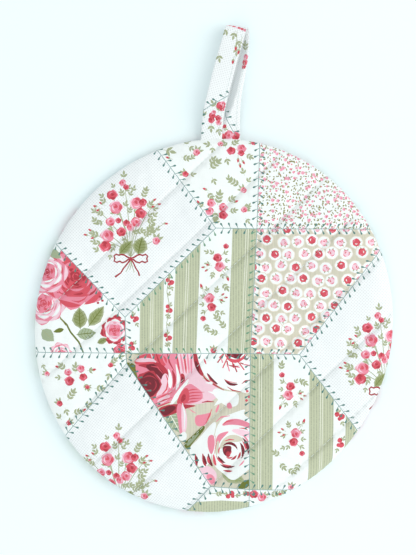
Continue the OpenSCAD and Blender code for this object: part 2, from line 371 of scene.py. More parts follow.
class Pen:
    """Draws motifs in a frame of its own: moved to at, turned by turn radians, scaled and maybe mirrored."""

    def __init__(self, design, at=(0, 0), turn=0.0, size=1.0, mirror=False):
        self.design = design
        self.at = at
        self.turn = turn
        self.size = size
        self.mirror = mirror

    def place(self, point):
        """Where a point of the pen's frame lies on the flat cloth."""
        x, y = point
        x = -x if self.mirror else x
        c, s = math.cos(self.turn) * self.size, math.sin(self.turn) * self.size
        return (self.at[0] + c * x - s * y, self.at[1] + s * x + c * y)

    def put(self, points, ink):
        """Shape with these corners, in the pen's frame."""
        self.design.shape([self.place(point) for point in points], ink)

    def soft(self, points, ink):
        """Shape with its corners rounded, as a brush leaves it."""
        for _ in range(2):
            points = [(p[0] + (q[0] - p[0]) * t, p[1] + (q[1] - p[1]) * t)
                      for p, q in zip(points, points[1:] + points[:1], strict=True) for t in (0.25, 0.75)]
        self.put(points, ink)

    def blob(self, at, radius, ink, lobes=5, depth=0.08, count=16, turn=0.0, squash=1.0):
        """Round spot of ink with a few soft lobes."""
        points = []
        for k in range(count):
            a = TAU * k / count
            r = radius * (1 + depth * math.cos(lobes * a + turn))
            points.append((at[0] + r * math.cos(a), at[1] + r * squash * math.sin(a)))
        self.put(points, ink)

    def crescent(self, at, radius, thick, start, end, ink, count=6):
        """Petal edge: an arc that is widest in its middle and pointed at both ends."""
        outer, inner = [], []
        for k in range(count + 1):
            t = k / count
            a = start + (end - start) * t
            width = thick * math.sin(math.pi * t) * 0.5 + 0.02
            outer.append(away(at, radius + width, a))
            inner.append(away(at, radius - width, a))
        self.put(outer + inner[::-1], ink)

    def stroke(self, points, width, ink, ends=0.6):
        """Brush line through points, a little thinner at its ends."""
        left, right = [], []
        last = len(points) - 1
        for k, (x, y) in enumerate(points):
            ahead, behind = points[min(k + 1, last)], points[max(k - 1, 0)]
            dx, dy = ahead[0] - behind[0], ahead[1] - behind[1]
            length = math.hypot(dx, dy) or 1
            half = width / 2 * (ends if k in (0, last) else 1)
            left.append((x - dy / length * half, y + dx / length * half))
            right.append((x + dy / length * half, y - dx / length * half))
        self.put(left + right[::-1], ink)

    def leaf(self, base, length, width, angle, ink, veins=None):
        """Pointed leaf from its base, with a middle vein and side veins if veins names their ink."""
        c, s = math.cos(angle), math.sin(angle)

        def turned(u, v):
            return (base[0] + c * u - s * v, base[1] + s * u + c * v)

        profile = [(0.0, 0.0), (0.15, 0.62), (0.4, 1.0), (0.7, 0.72), (1.0, 0.0)]
        upper = [turned(t * length, w * width / 2) for t, w in profile]
        lower = [turned(t * length, -w * width / 2) for t, w in profile[1:-1]]
        self.put(upper + lower[::-1], ink)
        if veins is None:
            return
        heart = [turned(0.06 * length + 0.86 * t * length, w * width * 0.38) for t, w in profile]
        heart += [turned(0.06 * length + 0.86 * t * length, -w * width * 0.34) for t, w in profile[-2:0:-1]]
        self.put(heart, "leaf_big" if ink == "leaf" else ink)
        self.stroke([turned(-0.05 * length, 0), turned(0.5 * length, 0.02 * width), turned(0.93 * length, 0)],
                    0.075 * width, veins, ends=0.4)
        for t in (0.2, 0.36, 0.52, 0.68):
            reach = width * 0.36 * (1.1 - abs(t - 0.4))
            for side in (-1, 1):
                self.stroke([turned(t * length, 0), turned(t * length + 0.13 * length, side * reach)],
                            0.05 * width, veins, ends=0.5)

    def rose(self, at, radius, tone, turn):
        """Small painted rose: loose outer petals, light edges and a darker heart a little off its middle."""
        face, mark, light = {
            "red": ("coral", "coral_dark", "pink"),
            "pink": ("pink", "coral", "pink_light"),
        }[tone]
        r = radius
        x, y = at
        for k in range(5):
            a = turn + TAU * k / 5
            self.blob((x + 0.52 * r * math.cos(a), y + 0.45 * r * math.sin(a)), 0.5 * r,
                      face if k % 2 else light, lobes=3, depth=0.1, count=8, turn=a)
        self.blob(at, 0.78 * r, face, lobes=5, depth=0.08, count=12, turn=turn)
        for k, (reach, thick, start, span) in enumerate(
            ((0.80, 0.22, 0.2, 1.5), (0.86, 0.18, 2.3, 1.3), (0.72, 0.24, 4.2, 1.6), (0.50, 0.2, 1.2, 2.0),
             (0.52, 0.2, 3.9, 1.8))):
            self.crescent(at, reach * r, thick * r, turn + start, turn + start + span,
                          light if k in (0, 3) else mark)
        heart = (x + 0.12 * r * math.cos(turn + 1), y + 0.12 * r)
        self.blob(heart, 0.30 * r, mark, lobes=3, depth=0.15, count=8, turn=turn)
        self.crescent(heart, 0.19 * r, 0.10 * r, turn, turn + 2.4, face, count=4)

    def bud(self, at, size, angle):
        """Closed red bud that points along angle, on a short stem with two sepals."""
        back = away(at, -1.9 * size, angle)
        self.stroke([away(at, -3.6 * size, angle), back], 0.30 * size, "leaf")
        for side in (-0.5, 0.5):
            self.leaf(back, 1.7 * size, 0.6 * size, angle + side, "leaf")
        self.leaf(away(at, -1.1 * size, angle), 2.3 * size, 1.35 * size, angle, "coral")
        self.leaf(away(at, -0.8 * size, angle), 1.6 * size, 0.55 * size, angle + 0.15, "coral_dark")

    def spray(self, at, angle, pairs, size):
        """Stem with pairs of small leaves and one at its tip."""
        length = (pairs + 0.6) * 1.7 * size
        self.stroke([at, away(at, length, angle)], 0.28 * size, "leaf")
        for k in range(pairs):
            base = away(at, (k + 0.7) * 1.6 * size, angle)
            for side in (-1, 1):
                self.leaf(base, 2.5 * size, 1.2 * size, angle + side * 0.8, "leaf")
        self.leaf(away(at, 0.8 * length, angle), 2.6 * size, 1.25 * size, angle, "leaf")

    def sprays(self, places):
        """Sprays of leaves, each as (x, y, angle, pairs of leaves, size)."""
        for x, y, angle, pairs, size in places:
            self.spray((x, y), angle, pairs, size)

    def like_sprays(self, places, pairs, size):
        """Sprays of one kind, each as (x, y, angle)."""
        self.sprays([(*place, pairs, size) for place in places])

    def buds(self, places, size):
        """Buds of one size, each as (x, y, angle)."""
        for x, y, angle in places:
            self.bud((x, y), size, angle)

    def single_roses(self, places):
        """Roses with three leaves behind each, as (x, y, radius, tone, angle)."""
        for x, y, radius, tone, angle in places:
            for turn in (-0.7, 0.0, 0.7):
                self.leaf((x, y), radius * 2.0, radius * 0.75, angle + turn, "leaf")
            self.rose((x, y), radius, tone, turn=angle)


def bow(pen):
    """Ribbon bow tied round the stems, with its knot at the pen's origin."""
    loop = [(0.4, 0.3), (2.0, 0.9), (3.4, 1.9), (5.0, 2.3), (6.4, 1.8), (8.0, 2.4), (9.1, 1.4), (8.6, 0.1),
            (9.0, -1.4), (7.6, -2.0), (6.0, -1.4), (4.6, -2.2), (2.8, -1.6), (1.4, -0.4), (0.3, 0.2)]
    pen.stroke(loop, 0.85, "bow", ends=1)
    pen.stroke([(-x, y + 0.1) for x, y in loop], 0.85, "bow", ends=1)
    pen.stroke([(0, 0), (-1.8, -2.6), (-4.0, -5.2), (-5.4, -7.6), (-8.5, -9.8)], 0.75, "bow", ends=1.4)
    pen.stroke([(0, 0), (1.5, -2.4), (2.6, -5.0), (4.0, -7.0), (4.7, -9.2)], 0.75, "bow", ends=1.2)
    pen.blob((0, 0), 1.0, "coral_dark", lobes=4, depth=0.1, count=8)


def bouquet(pen):
    """Tied bunch of roses, with the bow's knot at the pen's origin and the flowers above it."""
    for x, y, bend in ((-2.6, -7.0, -0.6), (-0.6, -6.0, 0.2), (1.8, -7.4, 0.5)):
        pen.stroke([(0, 1), (bend, -3), (x, y)], 0.45, "leaf")
    stems = [(-3.2, 38), (3, 30), (-8, 28), (-12, 13), (-20, 28), (12, 29), (18, 19), (13, 10), (-22, 14),
             (5, 24), (-10, 34), (-5, 15)]
    for x, y in stems:
        pen.stroke([(0, 1), (0.25 * x, 0.45 * y), (0.65 * x, 0.78 * y), (x, y)], 0.42, "leaf")
    sprays = [
        (-3.8, 43, 1.6, 1, 1.1), (6.3, 32.5, 1.2, 3, 1.0), (-14, 33, 2.6, 1, 0.9), (-4, 33, 1.9, 2, 0.9),
        (-14, 24, 2.9, 2, 0.9), (-17.5, 18, 2.2, 2, 1.0), (8, 20, 0.2, 2, 1.0), (8, 17, -0.5, 2, 1.0),
        (11, 27, 0.1, 1, 0.9), (-9, 17, 3.4, 1, 0.9), (-18, 9, 3.0, 1, 0.9), (9, 22, 0.8, 1, 0.9),
        (-1, 24, 1.3, 2, 0.8), (-9, 9, 4.4, 2, 1.0), (-11, 3, 4.6, 1, 0.8), (12, 12.5, 1.6, 1, 1.1),
        (6, 14, -0.2, 2, 0.9), (1, 13, 0.8, 1, 0.9), (-1, 33.5, 1.1, 1, 0.9), (14, 19, 3.3, 1, 0.7),
        (-16.5, 4, 2.7, 1, 1.0), (-5, 24, 2.7, 1, 0.9), (-3.4, 36, 0.9, 2, 0.9), (-12.6, 30.5, 2.8, 1, 1.0),
        (-3.6, 27.5, 1.2, 1, 1.0), (-14.6, 20.5, 3.6, 1, 1.0), (8.6, 27.0, 0.9, 2, 1.0),
        (-8.6, 23.6, 2.2, 1, 0.9), (1.6, 24.0, 0.9, 1, 0.9), (-16.5, 12.5, 2.9, 2, 1.1),
        (8.5, 14.0, 0.9, 2, 1.1), (2.5, 14.5, 0.2, 2, 1.0), (-9.0, 16.5, 3.9, 2, 1.0),
        (-2.5, 12.0, 4.4, 1, 1.0), (11.5, 22.5, 0.7, 1, 0.9), (-18.5, 24.5, 2.4, 1, 0.9),
        (0.8, 36.0, 1.2, 1, 0.9), (-8.5, 38.0, 2.2, 1, 0.8), (-15.5, 9.0, 3.4, 1, 1.0),
        (14.0, 14.5, 1.2, 1, 0.8),
    ]
    pen.sprays(sprays)
    pen.leaf((-6.2, 2.6), 10.2, 6.0, 0.80, "leaf", veins="leaf_dark")
    pen.leaf((3.9, 2.4), 10.0, 8.6, 1.32, "leaf", veins="leaf_dark")
    pen.buds([(-19.6, 28.5, 2.9), (-16.4, 30.2, 2.6), (-17.9, 26.2, 3.6), (13, 32, 0.6), (15.5, 29.6, 0.1),
              (11.9, 28.2, 0.5), (-22.2, 15.6, 2.6), (-24.7, 13, 2.9), (-20.8, 11.2, 3.4), (19.3, 19, -0.1)],
             size=0.85)
    roses = [
        (-10.0, 34.5, 3.1, "red"), (-7.9, 27.9, 3.9, "pink"), (3.1, 30.0, 3.8, "pink"),
        (6.4, 30.4, 2.4, "red"), (5.4, 24.5, 3.2, "red"), (-10.9, 20.1, 2.8, "pink"),
        (-6.7, 20.7, 1.7, "red"), (-2.4, 19.4, 2.0, "red"), (-0.3, 17.0, 2.3, "pink"),
        (2.9, 19.8, 3.0, "pink"), (-5.1, 14.6, 2.8, "red"), (-12.6, 12.5, 3.9, "pink"),
        (-13.9, 6.8, 3.3, "red"), (-4.5, 41.0, 2.1, "pink"), (-2.5, 38.7, 1.7, "red"),
    ]
    for k, (x, y, r, tone) in enumerate(roses):
        pen.rose((x, y), r, tone, turn=1.3 * k)
    pen.single_roses([(13.8, 9.8, 2.3, "pink", 1.2)])
    bow(pen)


def sprig(pen):
    """Two roses with buds to one side, as on the white stripes. The red rose is at the pen's origin."""
    pen.sprays([(-3, 1.5, 2.5, 1, 0.8), (-3, -5, 3.6, 1, 0.8), (4, 2.4, 0.4, 1, 0.8), (2, -7, -1.3, 2, 0.8),
                (-2, -8, -1.9, 1, 0.8), (2, 1.2, 1.0, 1, 0.8), (-3.2, -1.6, 3.1, 1, 0.8),
                (3.6, -3.4, 0.1, 1, 0.8)])
    pen.stroke([(-1, 0), (-3.4, 2.6), (-4.5, 5.6)], 0.35, "leaf")
    pen.stroke([(0, -4), (-3.6, -8), (-5.2, -11)], 0.3, "leaf")
    pen.rose((-4.6, 6.2), 1.6, "red", turn=0.4)
    pen.rose((0, 0), 2.6, "red", turn=0.9)
    pen.rose((-1.3, -4.7), 3.0, "pink", turn=2.0)
    pen.buds([(5.4, -3.8, 0.2), (8.0, -5.2, -0.1), (6.2, -7.0, -0.6)], size=0.75)
    pen.bud((-5.7, -11.6), 1.05, -1.9)


def berries(pen, turn=0.0):
    """Three berries on a leafy stem."""
    pen.spray((0.3, 0.5), 1.5, 1, 0.75)
    pen.spray((-0.2, -2.5), -1.5, 1, 0.75)
    for k, (x, y, r) in enumerate(((-0.9, 0.9, 1.25), (0.9, -1.0, 1.5), (-0.6, -1.6, 1.0))):
        pen.blob((x, y), r, "coral", lobes=3, depth=0.05, count=9)
        pen.crescent((x, y), 0.6 * r, 0.5 * r, turn + k, turn + k + 2.2, "coral_dark", count=4)


def petal(pen, at, radius, angle, spread, face, edge, shadow):
    """One broad petal of a large rose: its face, a lighter turned edge and a shadow at its foot."""
    tip = away(at, 0.48 * radius, angle)
    points = []
    for k in range(14):
        a = TAU * k / 14
        u = 0.56 * radius * math.cos(a) * (1 + 0.10 * math.cos(3 * a))
        v = spread * radius * math.sin(a) * (1 + 0.18 * math.cos(a) + 0.06 * math.cos(5 * a))
        points.append((tip[0] + math.cos(angle) * u - math.sin(angle) * v,
                       tip[1] + math.sin(angle) * u + math.cos(angle) * v))
    pen.put(points, face)
    pen.crescent(at, 0.52 * radius, 0.26 * radius, angle - 0.9 * spread, angle + 0.9 * spread, shadow,
                 count=8)
    pen.crescent(at, 0.93 * radius, 0.17 * radius, angle - 1.15 * spread, angle + 0.75 * spread, edge,
                 count=8)
    pen.crescent(at, 0.74 * radius, 0.09 * radius, angle - 0.5 * spread, angle + 0.9 * spread, shadow,
                 count=6)


def large_rose(pen, at, radius, rings, heart):
    """Painted rose of rings of petals, from the outside in. rings lists (share of radius, petals, inks)."""
    dice = pen.design.random
    for number, (share, count, face, edge, shadow) in enumerate(rings):
        for k in range(count):
            angle = TAU * (k + 0.5 * number) / count + dice.uniform(-0.15, 0.15)
            size = radius * share * dice.uniform(0.92, 1.06)
            petal(pen, at, size, angle, 0.62 * 5.5 / (count + 0.5), face, edge, shadow)
    pen.blob(at, 0.20 * radius, heart, lobes=5, depth=0.15, count=14)
    for k in range(4):
        pen.crescent(at, (0.07 + 0.035 * k) * radius, 0.045 * radius, 1.9 * k, 1.9 * k + 2.2, rings[-1][2],
                     count=5)


# ---------------------------------------------------------------- the patchwork layout

FAR = 130.0
# Scattered motifs farther out than this cannot show on the cut sheet
MOTIF_REACH = PAD_LENGTH / 2 + 6

# Where the printed seams meet. The letters only tell the points apart
MEET = {
    "a": (1.0, 52.6), "b": (-48.0, 4.4), "c": (-47.2, -20.6), "top": (24.9, 100.0), "f": (23.2, 52.2),
    "g": (19.7, -15.2), "h": (46.2, -15.8), "low": (19.1, -88.7), "l": (-1.7, -87.1), "b_low": (-48.0, -15.0),
}


def past(start, end, extra=60.0):
    """Point beyond end on the line from start."""
    dx, dy = end[0] - start[0], end[1] - start[1]
    length = math.hypot(dx, dy)
    return (end[0] + dx / length * extra, end[1] + dy / length * extra)


LEFT_A = past(MEET["b"], (-85.4, 43.8))
TOP_A = past(MEET["a"], (-30.8, 95.2))
RIGHT_D = past(MEET["h"], (90.2, 40.7))
RIGHT_E = past((47.5, -17.6), (78.3, -57.6))
LEFT_I = past(MEET["c"], (-78.8, -57.6))
LOW_I = past(MEET["l"], (-13.5, -99.7))
RIGHT_C = (FAR, 52.0)
LEFT_G = (-FAR, -14.2)
RIGHT_M = (FAR, -91.5)
TOP_C = past(MEET["f"], MEET["top"])
BOTTOM_K = past(MEET["g"], MEET["low"])

CORNER_D = (99.0, 52.0)
CORNER_K = (104.2, -90.8)

# Each seam runs the way its stitches lean, and names the stitches' inks on its left and on its right
PLAIN = ("teal", "teal")
SEAMS = [
    (TOP_A, MEET["a"], PLAIN), (MEET["a"], MEET["b"], ("teal_green", "teal")), (LEFT_A, MEET["b"], PLAIN),
    (MEET["b"], MEET["c"], PLAIN), (MEET["f"], MEET["a"], PLAIN), (MEET["f"], RIGHT_C, PLAIN),
    (TOP_C, MEET["f"], PLAIN), (MEET["f"], MEET["g"], ("teal", "teal_green")), (MEET["b_low"], LEFT_G, PLAIN),
    (MEET["g"], MEET["b_low"], ("teal", "teal_green")), (MEET["g"], MEET["h"], PLAIN),
    (RIGHT_D, MEET["h"], PLAIN), (MEET["h"], RIGHT_E, PLAIN), (LEFT_I, MEET["c"], PLAIN),
    (MEET["c"], MEET["l"], PLAIN), (MEET["l"], LOW_I, PLAIN),
    (MEET["g"], MEET["low"], ("teal_green", "teal")), (MEET["low"], BOTTOM_K, PLAIN),
    (MEET["l"], MEET["low"], PLAIN), (MEET["low"], RIGHT_M, PLAIN),
]


def meets(letters):
    """The points of MEET that have these names, as corners of a patch."""
    return [MEET[name] for name in letters.split()]


def stripe(design, left, right, lean, ink, ground=None):
    """Upright stripe that crosses y = 0 between two x values and leans with the weave."""
    corners = [(x + y * lean, y) for x, y in ((left, -FAR), (right, -FAR), (right, FAR), (left, FAR))]
    design.shape(corners, ink, ground=ground, vary=0.01)


def sage_stripe(design, left, right, lean):
    """Sage stripe with a double cream line down its middle."""
    stripe(design, left, right, lean, "sage", "rib")
    middle = (left + right) / 2
    for offset in (-0.6, 0.6):
        stripe(design, middle + offset - 0.15, middle + offset + 0.15, lean, "cream", "plain")


def patch_a(design):
    """Upper left: a bouquet on piqué."""
    near_corner = MEET["a"]
    far_corner = (LEFT_A[0] + TOP_A[0] - near_corner[0], LEFT_A[1] + TOP_A[1] - near_corner[1])
    design.start_patch([*meets("a b"), LEFT_A, far_corner, TOP_A], "pique", "pique", math.radians(45.5))
    bouquet(Pen(design, (-44.9, 36.0)))


def patch_b(design):
    """Top: small roses and sprays on white."""
    design.start_patch([TOP_A, *meets("a f top"), TOP_C])
    pen = Pen(design)
    sprays = [
        (-16.5, 98.0, 0.9, 2, 1.0), (-14.0, 97.0, -0.6, 1, 1.0), (-17.5, 91.0, -0.2, 2, 1.0),
        (-13.0, 90.0, 0.6, 1, 0.9), (-1.0, 97.5, 2.9, 1, 1.1), (-0.5, 97.0, -1.7, 1, 0.9),
        (6.5, 96.0, 1.9, 1, 1.0), (9.0, 97.5, 0.6, 2, 1.0), (17.0, 92.5, -0.5, 2, 0.9),
        (6.6, 91.0, -1.3, 1, 1.0), (-2.5, 87.0, 0.9, 2, 1.0), (-2.5, 84.5, 0.7, 3, 1.2),
        (-1.0, 80.0, -1.1, 1, 1.0), (-13.4, 81.3, 0.2, 1, 0.9), (8.0, 77.5, 1.6, 1, 0.9),
        (14.0, 75.5, 2.6, 3, 1.1), (16.5, 81.0, 1.9, 1, 1.0), (17.5, 77.0, 0.9, 1, 0.9),
        (-3.5, 72.0, -0.9, 2, 1.0), (2.0, 65.0, 1.4, 3, 1.2), (7.0, 67.0, 0.5, 2, 1.0),
        (8.0, 61.5, 0.2, 2, 0.9), (0.5, 62.0, -1.5, 2, 1.1), (-5.0, 64.0, 2.6, 1, 1.0),
        (17.6, 62.0, 1.1, 2, 0.8), (17.0, 58.0, -0.9, 1, 0.9), (0.4, 54.2, 1.2, 1, 1.1),
        (-27.4, 95.4, -0.3, 1, 1.6),
    ]
    pen.sprays(sprays)
    for x, y, r, tone in ((9.3, 94.4, 2.5, "red"), (14.9, 95.7, 2.7, "pink"), (14.7, 93.2, 1.9, "red"),
                          (-1.5, 66.0, 2.5, "pink"), (-2.4, 61.6, 2.5, "pink"), (5.0, 63.7, 2.6, "pink"),
                          (5.0, 59.6, 2.6, "red")):
        pen.rose((x, y), r, tone, turn=x)
    pen.single_roses([(-9.3, 93.6, 2.1, "pink", 1.0), (3.6, 98.3, 1.7, "pink", 0.3),
                      (-15.4, 81.8, 1.8, "red", 2.6), (16.0, 73.2, 1.8, "pink", 2.4),
                      (16.4, 62.6, 1.9, "pink", 0.5), (21.5, 99.0, 1.5, "red", 2.6)])
    pen.buds([(13.0, 88.9, -1.6), (16.1, 87.9, -1.0), (14.2, 86.0, -1.4), (-25.2, 90.8, 2.8),
              (-5.2, 73.8, 2.7), (12.3, 67.1, 0.4), (-8.6, 66.8, 2.3)], size=0.9)


def scattered(dice, start, rows, columns, pitch, rise, jitter):
    """Places of a loose scatter in staggered rows, as (row, column, x, y). rise is the step from row to row,
    as a share of the pitch."""
    for row in range(rows):
        for column in range(columns):
            x = start[0] + (column + 0.5 * (row % 2)) * pitch + dice.uniform(-jitter[0], jitter[0])
            y = start[1] + row * pitch * rise + dice.uniform(-jitter[1], jitter[1])
            yield row, column, x, y


def patch_c(design):
    """Upper right: small blossoms close together."""
    design.start_patch([*meets("top f"), RIGHT_C, (FAR, FAR), TOP_C])
    pen = Pen(design)
    dice = design.random
    for _, _, x, y in scattered(dice, (20.0, 52.0), rows=26, columns=37, pitch=2.8, rise=0.9,
                                jitter=(0.9, 0.8)):
        pick = dice.random()
        angle = dice.uniform(0, TAU)
        if math.hypot(x, y) > MOTIF_REACH:
            continue
        if pick < 0.48:
            pen.blob((x, y), dice.uniform(0.65, 1.05), "blush", lobes=5, depth=0.16, count=9, turn=angle)
            pen.blob((x + 0.25, y - 0.2), 0.34, "coral" if pick < 0.12 else "pink", lobes=3, depth=0.2,
                     count=6)
        elif pick < 0.6:
            pen.leaf((x, y), 1.1, 0.7, angle, "coral")
        else:
            pen.leaf((x, y), 1.6, 0.75, angle, "olive")
        pen.leaf((x - 0.9, y + 0.9), 1.5, 0.6, angle + 1.9, "olive")
        pen.leaf((x + 1.1, y + 0.5), 1.0, 0.5, angle + 3.5, "leaf_dark" if pick > 0.3 else "coral")


def medallion(pen, at, angle, red):
    """Round white spot with a ring, three leaves and a red or a pink rose."""
    for radius, ink in ((3.75, "ring"), (3.3, "white")):
        pen.blob(at, radius, ink, lobes=7, depth=0.035, count=18, turn=angle, squash=0.97)
    for side in (-0.8, 0.1, 0.9):
        pen.leaf(at, 2.9, 1.1, angle + side, "leaf_grey" if red else "leaf")
    if red:
        pen.blob(at, 2.15, "coral", lobes=5, depth=0.08, count=12, turn=angle)
        pen.crescent(at, 1.75, 0.35, angle + 0.3, angle + 1.8, "coral_dark", count=5)
        pen.crescent(at, 1.5, 0.4, angle + 2.6, angle + 4.0, "pink", count=5)
        pen.crescent(at, 0.85, 0.5, angle + 4.4, angle + 6.4, "white", count=4)
        return
    pen.blob(at, 1.8, "pink_light", lobes=5, depth=0.10, count=10, turn=angle)
    for start in (0.0, 2.2, 4.3):
        pen.crescent(at, 1.65, 0.7, angle + start, angle + start + 1.5, "pink", count=4)
    pen.crescent(at, 0.75, 0.55, angle, angle + 2.6, "coral", count=4)


def patch_d(design):
    """Right: medallions with red and pink roses on taupe."""
    design.start_patch([*meets("f g h"), CORNER_D], "taupe", "streak")
    pen = Pen(design)
    dice = design.random
    for row, column, x, y in scattered(dice, (17.0, 52.5), rows=12, columns=12, pitch=7.9, rise=-0.87,
                                       jitter=(1.1, 1.1)):
        if math.hypot(x, y) <= MOTIF_REACH:
            medallion(pen, (x, y), dice.uniform(0, TAU), red=(column + 2 * row) % 3 == 0)


def patch_e(design):
    """Far right: a bouquet on piqué."""
    design.start_patch([*meets("h"), RIGHT_E, (FAR, -95.0), (FAR, 60.0), RIGHT_D], "pique", "pique",
                       math.radians(47.5))
    bouquet(Pen(design, (93.0, -35.8)))


def patch_f(design):
    """Middle: sage stripes, with sprigs and berries between them."""
    design.start_patch(meets("a b b_low g f"))
    for left, right, lean in ((-40.0, -27.4, 0.015), (-21.9, -9.0, 0.04), (8.0, 24.0, 0.04)):
        sage_stripe(design, left, right, lean)
    sprig(Pen(design, (1.9, 36.6), mirror=True))
    sprig(Pen(design, (-1.2, 9.9), turn=math.pi, mirror=True))
    pen = Pen(design)
    pen.single_roses([(-0.3, -13.6, 1.7, "red", 1.5)])
    pen.like_sprays([(4.0, 2.2, 2.4), (6.5, -2.0, 2.2), (3.0, -4.5, 2.9), (-5.0, 1.5, -1.2),
                     (4.5, 23.0, -0.9)], pairs=2, size=1.0)
    for x, y, turn in ((-23.9, 23.9, 0.3), (-24.3, 9.2, -0.2), (-25.0, -6.0, 0.2), (-43.0, 4.2, 0.4),
                       (-44.2, -11.0, -0.5), (-24.6, 31.0, 0.1)):
        berries(Pen(design, (x, y), turn=turn, size=0.95), turn)
    pen.stroke([(-24.6, 26), (-25.4, 18), (-23.8, 10), (-25.6, 1), (-24.6, -14)], 0.35, "leaf")
    for y in (19, 15.5, 3, -1, -12):
        pen.spray((-24.8, y), 1.2 if y % 2 else 2.0, 1, 0.7)


def patch_g(design):
    """Left: large painted roses and broad leaves."""
    design.start_patch([LEFT_A, *meets("b b_low"), LEFT_G, (-FAR, 60.0)])
    pen = Pen(design)
    pen.stroke([(-83, 4), (-79.5, 0.5), (-77.5, -3.5), (-73, -9), (-70.2, -15.5)], 0.95, "leaf_dark",
               ends=0.8)
    pen.stroke([(-88, 11), (-84, 6), (-80, 0)], 0.5, "olive")
    pen.leaf((-72.2, -1.6), 11.5, 8.6, 1.62, "leaf", veins="leaf_dark")
    pen.leaf((-67.5, -0.2), 13.5, 7.2, 0.92, "leaf", veins="leaf_dark")
    pen.leaf((-74.0, -5.0), 10.5, 6.8, 0.10, "leaf_grey", veins="leaf_dark")
    pen.leaf((-81.0, -2.0), 6.0, 2.6, 3.4, "leaf_dark")
    pen.leaf((-93.0, -2.4), 9.0, 7.0, -0.75, "leaf_grey", veins="leaf")
    pen.leaf((-63.0, -9.5), 6.5, 3.6, 0.4, "leaf", veins="leaf_dark")
    coral = [
        (1.00, 7, "pink", "coral", "coral_dark"), (0.76, 6, "coral", "pink", "coral_dark"),
        (0.50, 5, "coral", "pink", "coral_dark"),
    ]
    blush = [
        (1.00, 7, "pink", "pink_light", "coral"), (0.76, 6, "pink_light", "white", "pink"),
        (0.50, 5, "pink", "white", "coral"),
    ]
    frilled = [
        (1.00, 9, "coral", "coral_dark", "coral_dark"), (0.72, 6, "pink_light", "white", "pink"),
        (0.48, 4, "pink", "pink_light", "coral"),
    ]
    large_rose(pen, (-92, 12), 11.5, blush, "coral")
    large_rose(pen, (-74.5, 26.5), 16.5, coral, "coral_dark")
    large_rose(pen, (-90.5, 29), 11.0, blush, "coral_dark")
    pen.leaf((-90, 41), 9, 5, -0.55, "leaf_grey", veins="leaf")
    large_rose(pen, (-53.6, -2.6), 7.6, frilled, "coral")
    large_rose(pen, (-82.5, -15.5), 6.0, blush, "coral")
    large_rose(pen, (-50.0, -14.5), 4.6, coral, "coral_dark")
    pen.spray((-50.5, 9.5), 2.2, 2, 1.0)
    for x, y in ((-61.5, 15.5), (-60.2, 13.4), (-62.6, 12.2)):
        pen.blob((x, y), 0.7, "coral_dark", count=7)


def patch_h(design):
    """Lower left: small roses and sprays on white."""
    design.start_patch([LEFT_G, *meets("b_low c"), LEFT_I, (-FAR, -95.0)])
    pen = Pen(design)
    sprays = [
        (-75, -26, 1.5, 2, 1.1), (-80, -24, 2.4, 2, 1.0), (-82, -28, 3.2, 1, 0.9), (-70, -31, -1.1, 2, 0.9),
        (-68.5, -24.5, 0.1, 1, 1.0), (-55.8, -20.6, 0.7, 2, 0.9), (-56, -25, -1.9, 1, 1.1),
        (-79, -40.5, 1.0, 3, 1.1), (-64.5, -34.0, 0.0, 2, 1.1), (-76.5, -47.5, 0.3, 2, 1.0),
        (-80.5, -44.5, -1.2, 1, 1.0), (-52.5, -17.6, 0.3, 1, 1.0), (-70.5, -44.0, 0.4, 1, 1.2),
        (-82.5, -51.0, 2.3, 1, 1.0), (-93.0, -20.5, -1.2, 1, 0.8),
    ]
    pen.sprays(sprays)
    for x, y, r, tone in ((-78, -29.9, 2.8, "red"), (-78.7, -25.3, 2.2, "pink"), (-71.9, -23.3, 2.3, "pink"),
                          (-70.6, -27.9, 2.3, "red")):
        pen.rose((x, y), r, tone, turn=y)
    pen.single_roses([(-55.8, -21.4, 1.5, "red", 0.6), (-90.3, -26.2, 1.6, "pink", 2.6),
                      (-68.3, -33.3, 1.3, "red", -0.2), (-83.4, -42.2, 1.8, "red", 2.2),
                      (-78.4, -52.7, 1.6, "red", 0.7)])
    pen.buds([(-64.6, -23.8, 0.2), (-84.9, -22.3, 2.8), (-69.9, -45.6, 0.6)], size=0.95)


def patch_i(design):
    """Bottom left: a bouquet on piqué."""
    design.start_patch([*meets("c l"), LOW_I, (-80.0, -155.0), LEFT_I], "pique", "pique", math.radians(-38.5))
    bouquet(Pen(design, (-52.4, -100.9), turn=math.radians(-6)))


def patch_j(design):
    """Below the middle: three very large roses on taupe."""
    design.start_patch(meets("b_low g low l c"), "taupe", "streak")
    pen = Pen(design)
    pen.leaf((-48, -10), 12, 6, -0.5, "leaf", veins="leaf_dark")
    pen.leaf((-47, -20), 12, 6, -0.9, "leaf_dark", veins="olive")
    pen.leaf((-25, -46), 14, 8, -1.05, "leaf_grey", veins="cream")
    burgundy_rose(pen)
    upper_white_rose(pen)
    lower_white_rose(pen)


